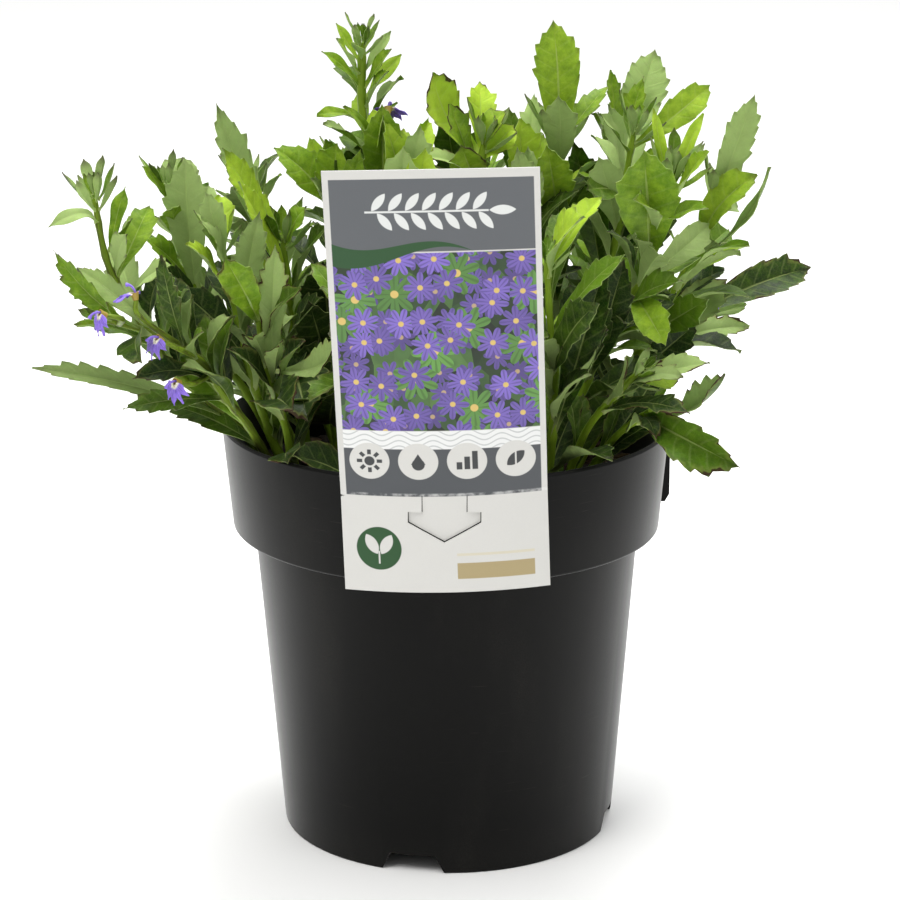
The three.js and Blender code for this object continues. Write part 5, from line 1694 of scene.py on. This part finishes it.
def flower_bed(art, violet):
    """The printed picture: daisies in two sizes over dark foliage, with leaf rosettes between them."""
    f = art.f
    foliage = f.cells(f.vector(art.x / 6.0, art.y / 9.0), 1.0, voronoi_dimensions="2D")
    tone = f.parts(*f.others(foliage, "Color"))[0]
    ground = f.ramp(tone * 0.6 + foliage * 0.35, (0.15, tint(24, 34, 24)), (0.5, tint(48, 78, 40)),
                    (0.85, tint(98, 140, 72)))
    bed = f.shade(ground, foliage.rise(0.75, 0.1) * 0.5 + 0.6)
    layers = (
        (10.5, 5.2, 0.3, 3.0, 0.62, violet),
        (21.0, 8.6, 0.7, 15.0, 1.0, tint(92, 140, 66)),
        (12.5, 6.1, 1.1, 9.0, 1.0, violet),
    )
    for step, size, turn, shift, bright, body in layers:
        petals, lines, eye, shade = art.daisies(step, size, turn, shift)
        bloom = f.shade(body, (shade * 0.45 + 0.72) * bright)
        bloom = f.mix(bloom, dimmed(body, 0.4), lines * 0.6)
        bloom = f.mix(bloom, tint(206, 178, 104), eye * bright)
        bed = f.mix(bed, bloom, petals)
    return bed


def card_finish(label):
    """Printed card: grey header with a sprig, a picture of daisies, round signs and a plain white foot."""
    f = Finish(bpy.data.materials.new("plant_label_card"))
    across, up, front = f.field("card_place")
    where = f.place()
    art = Print(f, across, up)
    white, green = label.paper_colour[:], label.wave_colour[:]

    shown = f.mix(white, label.header_colour[:], art.panel("header"))
    shown = f.mix(shown, tint(214, 216, 214), sprig(art))
    shown = f.mix(shown, flower_bed(art, label.flower_colour[:]), art.panel("picture"))
    wave_line = up - 131.5 - (across * 0.085 + 1.1).sine() * 5.0 + across * 0.06
    wave = art.inside(wave_line) * art.inside((14.0 - across) * 0.17 - wave_line)
    shown = f.mix(shown, green, wave * art.panel("wave"))

    ripple = (up + (across * 0.5).sine() * 1.2).to_line(2.2).rise(0.35, 0.2)
    strip = f.mix(tint(222, 223, 222), tint(168, 170, 171), ripple * 0.7)
    shown = f.mix(shown, strip, art.panel("strip"))
    shown = f.mix(shown, label.band_colour[:], art.panel("band"))
    for i, sign in enumerate((sun_sign, drop_sign, bars_sign, leaf_sign)):
        x = SIGN_STEP * (i - 1.5)
        shown = f.mix(shown, white, art.disc(x, SIGN_UP, SIGN_RADIUS))
        shown = f.mix(shown, tint(52, 54, 56), sign(art, x, SIGN_UP))

    shown = f.mix(shown, tint(164, 148, 108), art.box(4.0, 33.0, 5.2, 11.4))
    shown = f.mix(shown, tint(202, 196, 176), art.box(4.0, 33.0, 14.2, 15.2))
    shown = f.mix(shown, green, art.disc(-25.0, 17.0, 8.4))
    leaves = [art.leaf(x, 18.6, 8.6, 4.2, degrees) for x, degrees in ((-27.6, 118), (-22.2, 62))]
    shown = f.mix(shown, white, together([*leaves, art.box(-25.3, -24.7, 11.0, 16.0)]))

    shown = f.mix(tint(236, 236, 232), shown, front)
    fibres = f.noise(where, 1600.0, 2.0)
    worn = f.noise(where, 45.0)
    shown = f.shade(shown, (fibres - 0.5) * 0.05 + (worn - 0.5) * 0.03 + 1.0)
    crease = (up - (CARD["crease"] - CARD["foot"])).size().rise(0.9, 0.2)
    crease = crease * f.noise(where, 300.0).rise(0.35, 0.7)
    shown = f.mix(shown, tint(244, 244, 242), crease * 0.45)
    height = fibres * 0.4 + worn * 2.0 - crease * 0.6
    return f.done(Base_Color=shown, Roughness=worn * 0.14 + 0.36, Normal=f.bump(height, 0.4, 0.00008),
                  Specular_IOR_Level=0.4)


def plastic_finish(pot):
    """Black moulded plastic: fine grain, slight flow marks, dust in patches and near the foot, scuffs."""
    f = Finish(bpy.data.materials.new("nursery_pot_plastic"))
    where = f.place()
    z = f.parts(where)[2]
    cloud = f.noise(where, 14.0, 4.0)
    smear = f.drawn_out(where, (30.0, 30.0, 9.0), 4.0)
    fine = f.noise(where, 2400.0, 2.0)
    grain = f.noise(where, 900.0)
    dust = (smear.rise(0.5, 0.8) * 0.6 + z.rise(0.02, 0.0) * 0.35) * fine.rise(0.3, 0.75)
    scratch = f.drawn_out(where, (60.0, 60.0, 1400.0), 2.0).rise(0.66, 0.74) * cloud.rise(0.5, 0.62)
    shown = f.mix(pot.plastic_colour[:], tint(96, 92, 84), dust * 0.16 + scratch * 0.1)
    rough = cloud * 0.12 + dust * 0.25 + grain * 0.08 + 0.27
    flow = f.drawn_out(where, (22.0, 22.0, 5.0), 2.0)
    height = fine * 0.2 + grain * 0.35 + flow * 3.0 - scratch * 0.25
    return f.done(Base_Color=shown, Roughness=rough, Normal=f.bump(height, 0.4, 0.00006),
                  Specular_IOR_Level=0.1, Sheen_Weight=0.34, Sheen_Roughness=0.3)


def soil_finish(soil):
    """Moist potting mix: near-black crumbs, bark chips in browns, a few pale grains."""
    f = Finish(bpy.data.materials.new("potting_soil_mix"))
    chip, tone, pale = f.field("grain_look")
    where = f.place()
    crumbs = f.cells(where, 420.0)
    cloud = f.noise(where, 130.0, 4.0)
    moist = soil.soil_colour[:]
    bed = f.ramp(cloud * 0.7 + crumbs * 0.3, (0.25, dimmed(moist, 0.45)), (0.75, moist))
    grain = f.drawn_out(where, (900.0, 300.0, 900.0), 3.0)
    bark = f.ramp(tone * 0.7 + grain * 0.3, (0.1, tint(22, 16, 11)), (0.55, tint(52, 38, 26)),
                  (0.95, tint(92, 70, 48)))
    shown = f.mix(f.mix(bed, bark, chip), tint(176, 168, 150), pale * chip)
    height = crumbs + cloud * 1.4 + grain * chip * 0.5
    return f.done(Base_Color=shown, Roughness=cloud * 0.2 + 0.72, Normal=f.bump(height, 0.8, 0.0006),
                  Specular_IOR_Level=0.3)


def floor_finish(stage):
    """Plain pale floor, very slightly uneven in tone."""
    f = Finish(bpy.data.materials.new("studio_floor"))
    where = f.place()
    shown = f.shade(stage.floor_colour[:], f.noise(where, 3.0) * 0.01 + 0.995)
    return f.done(Base_Color=shown, Roughness=f.noise(where, 40.0) * 0.05 + 0.7, Specular_IOR_Level=0.1)


def dress(piece, material, node):
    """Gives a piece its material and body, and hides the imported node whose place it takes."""
    piece.data.materials.clear()
    piece.data.materials.append(material)
    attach(piece, BODY)
    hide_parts(node)


def length(name, description, default):
    return bpy.props.FloatProperty(name=name, description=description, default=default, min=0.0,
                                   subtype="DISTANCE", unit="LENGTH", precision=5)


def colour(name, description, *default):
    return bpy.props.FloatVectorProperty(name=name, description=description, default=tint(*default), size=3,
                                         min=0.0, max=1.0, subtype="COLOR")


def number(name, description, default):
    return bpy.props.IntProperty(name=name, description=description, default=default, min=3)


class FanFlowerPlant(bpy.types.PropertyGroup):
    tooth_depth: length("Tooth depth", "How far a leaf's teeth stand out from its edge", 0.0016)
    edge_wave: length("Edge wave", "How far a leaf's edge waves up and down", 0.0014)
    vein_relief: length("Vein relief", "How deep the side veins lie in a leaf", 0.00022)
    leaf_thickness: length("Leaf thickness", "Thickness of a full-grown leaf beside its midrib", 0.00055)
    young_colour: colour("Young leaf", "Upper side of the youngest leaves", 172, 202, 56)
    leaf_colour: colour("Leaf", "Upper side of a full-grown leaf", 98, 132, 26)
    old_colour: colour("Old leaf", "Upper side of the oldest leaves", 32, 51, 15)
    underside_colour: colour("Underside", "Grey-green underside of a leaf", 174, 200, 120)
    vein_colour: colour("Vein", "Midrib and side veins", 186, 200, 124)
    stem_colour: colour("Stem", "Fresh stem", 124, 152, 40)
    purple_colour: colour("Purple", "Tips of teeth and streaks on stems", 58, 34, 40)
    scorch_colour: colour("Scorch", "Dry brown edge of an old leaf", 58, 42, 24)


class FanFlowerBloom(bpy.types.PropertyGroup):
    petal_length: length("Petal length", "From the throat to a petal's tip", 0.0086)
    petal_width: length("Petal width", "Across a petal's widest place", 0.0027)
    petal_colour: colour("Petal", "Body of a petal", 140, 112, 218)
    line_colour: colour("Petal lines", "Darker lines along a petal", 78, 48, 160)
    throat_colour: colour("Throat", "Inside the mouth of the tube", 166, 142, 58)


class FanFlowerPot(bpy.types.PropertyGroup):
    pot_sides: number("Pot sides", "Flat faces around the pot", 160)
    plastic_colour: colour("Plastic", "Moulded plastic", 9, 9, 8)


class FanFlowerLabel(bpy.types.PropertyGroup):
    card_thickness: length("Card thickness", "Thickness of the label", CARD["thick"] * MM)
    tongue_push: length("Tongue push", "How far the tongue's tip lies behind the card", 0.0013)
    paper_colour: colour("Paper", "Unprinted card", 202, 201, 197)
    header_colour: colour("Header", "Panel behind the sprig", 88, 91, 95)
    band_colour: colour("Band", "Band behind the round signs", 70, 73, 77)
    wave_colour: colour("Wave", "Wave over the picture, and the emblem", 28, 72, 32)
    flower_colour: colour("Printed flowers", "Petals of the printed daisies", 116, 96, 178)


class FanFlowerSoil(bpy.types.PropertyGroup):
    chip_count: number("Chips", "Bark chips and crumbs that lie on the soil", 420)
    fibre_count: number("Fibres", "Fibres that curl over the soil", 70)
    chip_size: length("Chip size", "Length of the largest chip", 0.011)
    soil_colour: colour("Soil", "Moist potting soil", 40, 31, 24)


class FanFlowerStage(bpy.types.PropertyGroup):
    floor_colour: colour("Floor", "Plain pale floor", 250, 250, 249)
    floor_reach: length("Floor reach", "From the middle of the floor to its edge", 14.0)
    camera_place: bpy.props.FloatVectorProperty(
        name="Camera place", description="Where the camera stands", default=(0.0008, -1.2, 0.4972), size=3,
        subtype="TRANSLATION", unit="LENGTH")
    camera_dip: bpy.props.FloatProperty(
        name="Camera dip", description="How far the camera looks below the level",
        default=math.radians(15.96), subtype="ANGLE", unit="ROTATION")
    camera_lens: bpy.props.FloatProperty(
        name="Lens", description="Focal length on a 36 mm sensor, in millimetres", default=124.8, min=1.0)


GROUPS = {
    "fan_flower_plant": FanFlowerPlant,
    "fan_flower_bloom": FanFlowerBloom,
    "fan_flower_pot": FanFlowerPot,
    "fan_flower_label": FanFlowerLabel,
    "fan_flower_soil": FanFlowerSoil,
    "fan_flower_stage": FanFlowerStage,
}


class FANFLOWER_OT_stage(bpy.types.Operator):
    """Sets the camera, the lights and the pale floor"""
    bl_idname = "fanflower.stage"
    bl_label = "Stage"

    def execute(self, context):
        settings = context.scene.fan_flower_stage
        reach = settings.floor_reach / MM
        corners = [(-reach, -reach, 0), (reach, -reach, 0), (reach, reach, 0), (-reach, reach, 0)]
        floor = new_piece("studio_floor", corners, [(0, 1, 2, 3)])
        floor.data.materials.append(floor_finish(settings))
        camera = bpy.data.cameras.new("studio_camera")
        camera.lens = settings.camera_lens
        camera.sensor_width = SENSOR_WIDTH
        stand = bpy.data.objects.new("studio_camera", camera)
        stand.location = settings.camera_place
        stand.rotation_euler = (math.pi / 2 - settings.camera_dip, 0, 0)
        context.scene.collection.objects.link(stand)
        context.scene.camera = stand
        context.scene.view_settings.view_transform = "Standard"
        set_sky(context.scene)
        for lamp in LAMPS:
            add_lamp(context.scene, *lamp)
        return {"FINISHED"}


def set_sky(scene):
    """Soft light from all round, brighter above and behind than in front, as from studio screens."""
    scene.world = bpy.data.worlds.new("studio_light")
    f = Finish(scene.world)
    _, y, z = f.parts(f.node("TexCoord", output="Generated"))
    strength = y.rise(*SKY_BEHIND) * z.rise(*SKY_ABOVE)
    light = f.node("Background", values={"Color": (1, 1, 1), "Strength": strength})
    f.node("OutputWorld", values={"Surface": light})


def add_lamp(scene, name, place, size, power, shade):
    """One square lamp that points at the middle of the plant."""
    lamp = bpy.data.lights.new(name, "AREA")
    lamp.size = size
    lamp.energy = power
    lamp.color = shade
    holder = bpy.data.objects.new(name, lamp)
    holder.location = place
    holder.rotation_euler = (Vector(LIT_PLACE) - Vector(place)).to_track_quat("-Z", "Y").to_euler()
    scene.collection.objects.link(holder)


class FANFLOWER_OT_stems(bpy.types.Operator):
    """Grows every leafy stem with its leaves, bud and flower tubes, in place of its solid"""
    bl_idname = "fanflower.stems"
    bl_label = "Leafy stems"

    def execute(self, context):
        settings = context.scene.fan_flower_plant
        finish = leaf_finish(settings)
        for name, stem in grown_stems().items():
            dress(build_stem(name, stem, settings), finish, name)
        return {"FINISHED"}


class FANFLOWER_OT_blooms(bpy.types.Operator):
    """Opens the fan flowers, each with five petals, in place of their solids"""
    bl_idname = "fanflower.blooms"
    bl_label = "Fan flowers"

    def execute(self, context):
        settings = context.scene.fan_flower_bloom
        finish = petal_finish(settings)
        for place, (_, _, middle, facing) in enumerate(BLOOMS, start=1):
            dress(build_fan(place, middle, facing, settings), finish, f"bloom_{place}")
        return {"FINISHED"}


class FANFLOWER_OT_pot(bpy.types.Operator):
    """Moulds the pot with rounded edges, notches, drains and label hooks"""
    bl_idname = "fanflower.pot"
    bl_label = "Nursery pot"

    def execute(self, context):
        settings = context.scene.fan_flower_pot
        dress(build_pot(settings), plastic_finish(settings), "pot")
        return {"FINISHED"}


class FANFLOWER_OT_soil(bpy.types.Operator):
    """Fills the pot with crumbled soil, bark chips and fibres"""
    bl_idname = "fanflower.soil"
    bl_label = "Potting soil"

    def execute(self, context):
        settings = context.scene.fan_flower_soil
        dress(build_soil(settings), soil_finish(settings), "soil")
        return {"FINISHED"}


class FANFLOWER_OT_label(bpy.types.Operator):
    """Hangs the bent card label with its printed design and cut tongue"""
    bl_idname = "fanflower.label"
    bl_label = "Card label"

    def execute(self, context):
        settings = context.scene.fan_flower_label
        dress(build_label(settings), card_finish(settings), "label")
        return {"FINISHED"}


OPERATORS = (FANFLOWER_OT_stage, FANFLOWER_OT_pot, FANFLOWER_OT_soil, FANFLOWER_OT_label,
             FANFLOWER_OT_stems, FANFLOWER_OT_blooms)


class FANFLOWER_PT_build(bpy.types.Panel):
    """Lists the pieces of the potted fan flower and their sizes"""
    bl_idname = "FANFLOWER_PT_build"
    bl_label = "Potted fan flower"
    bl_space_type = "VIEW_3D"
    bl_region_type = "UI"
    bl_category = "Fan flower"

    def draw(self, context):
        for operator in OPERATORS:
            self.layout.operator(operator.bl_idname)
        for name, group in GROUPS.items():
            box = self.layout.box()
            for setting in group.__annotations__:
                box.prop(getattr(context.scene, name), setting)


CLASSES = (*GROUPS.values(), *OPERATORS, FANFLOWER_PT_build)


def register():
    for cls in CLASSES:
        bpy.utils.register_class(cls)
    for name, group in GROUPS.items():
        setattr(bpy.types.Scene, name, bpy.props.PointerProperty(type=group))


def unregister():
    for name in GROUPS:
        delattr(bpy.types.Scene, name)
    for cls in reversed(CLASSES):
        bpy.utils.unregister_class(cls)


def main():
    register()
    for operator in OPERATORS:
        family, action = operator.bl_idname.split(".")
        getattr(getattr(bpy.ops, family), action)()


if __name__ == "__main__":
    main()
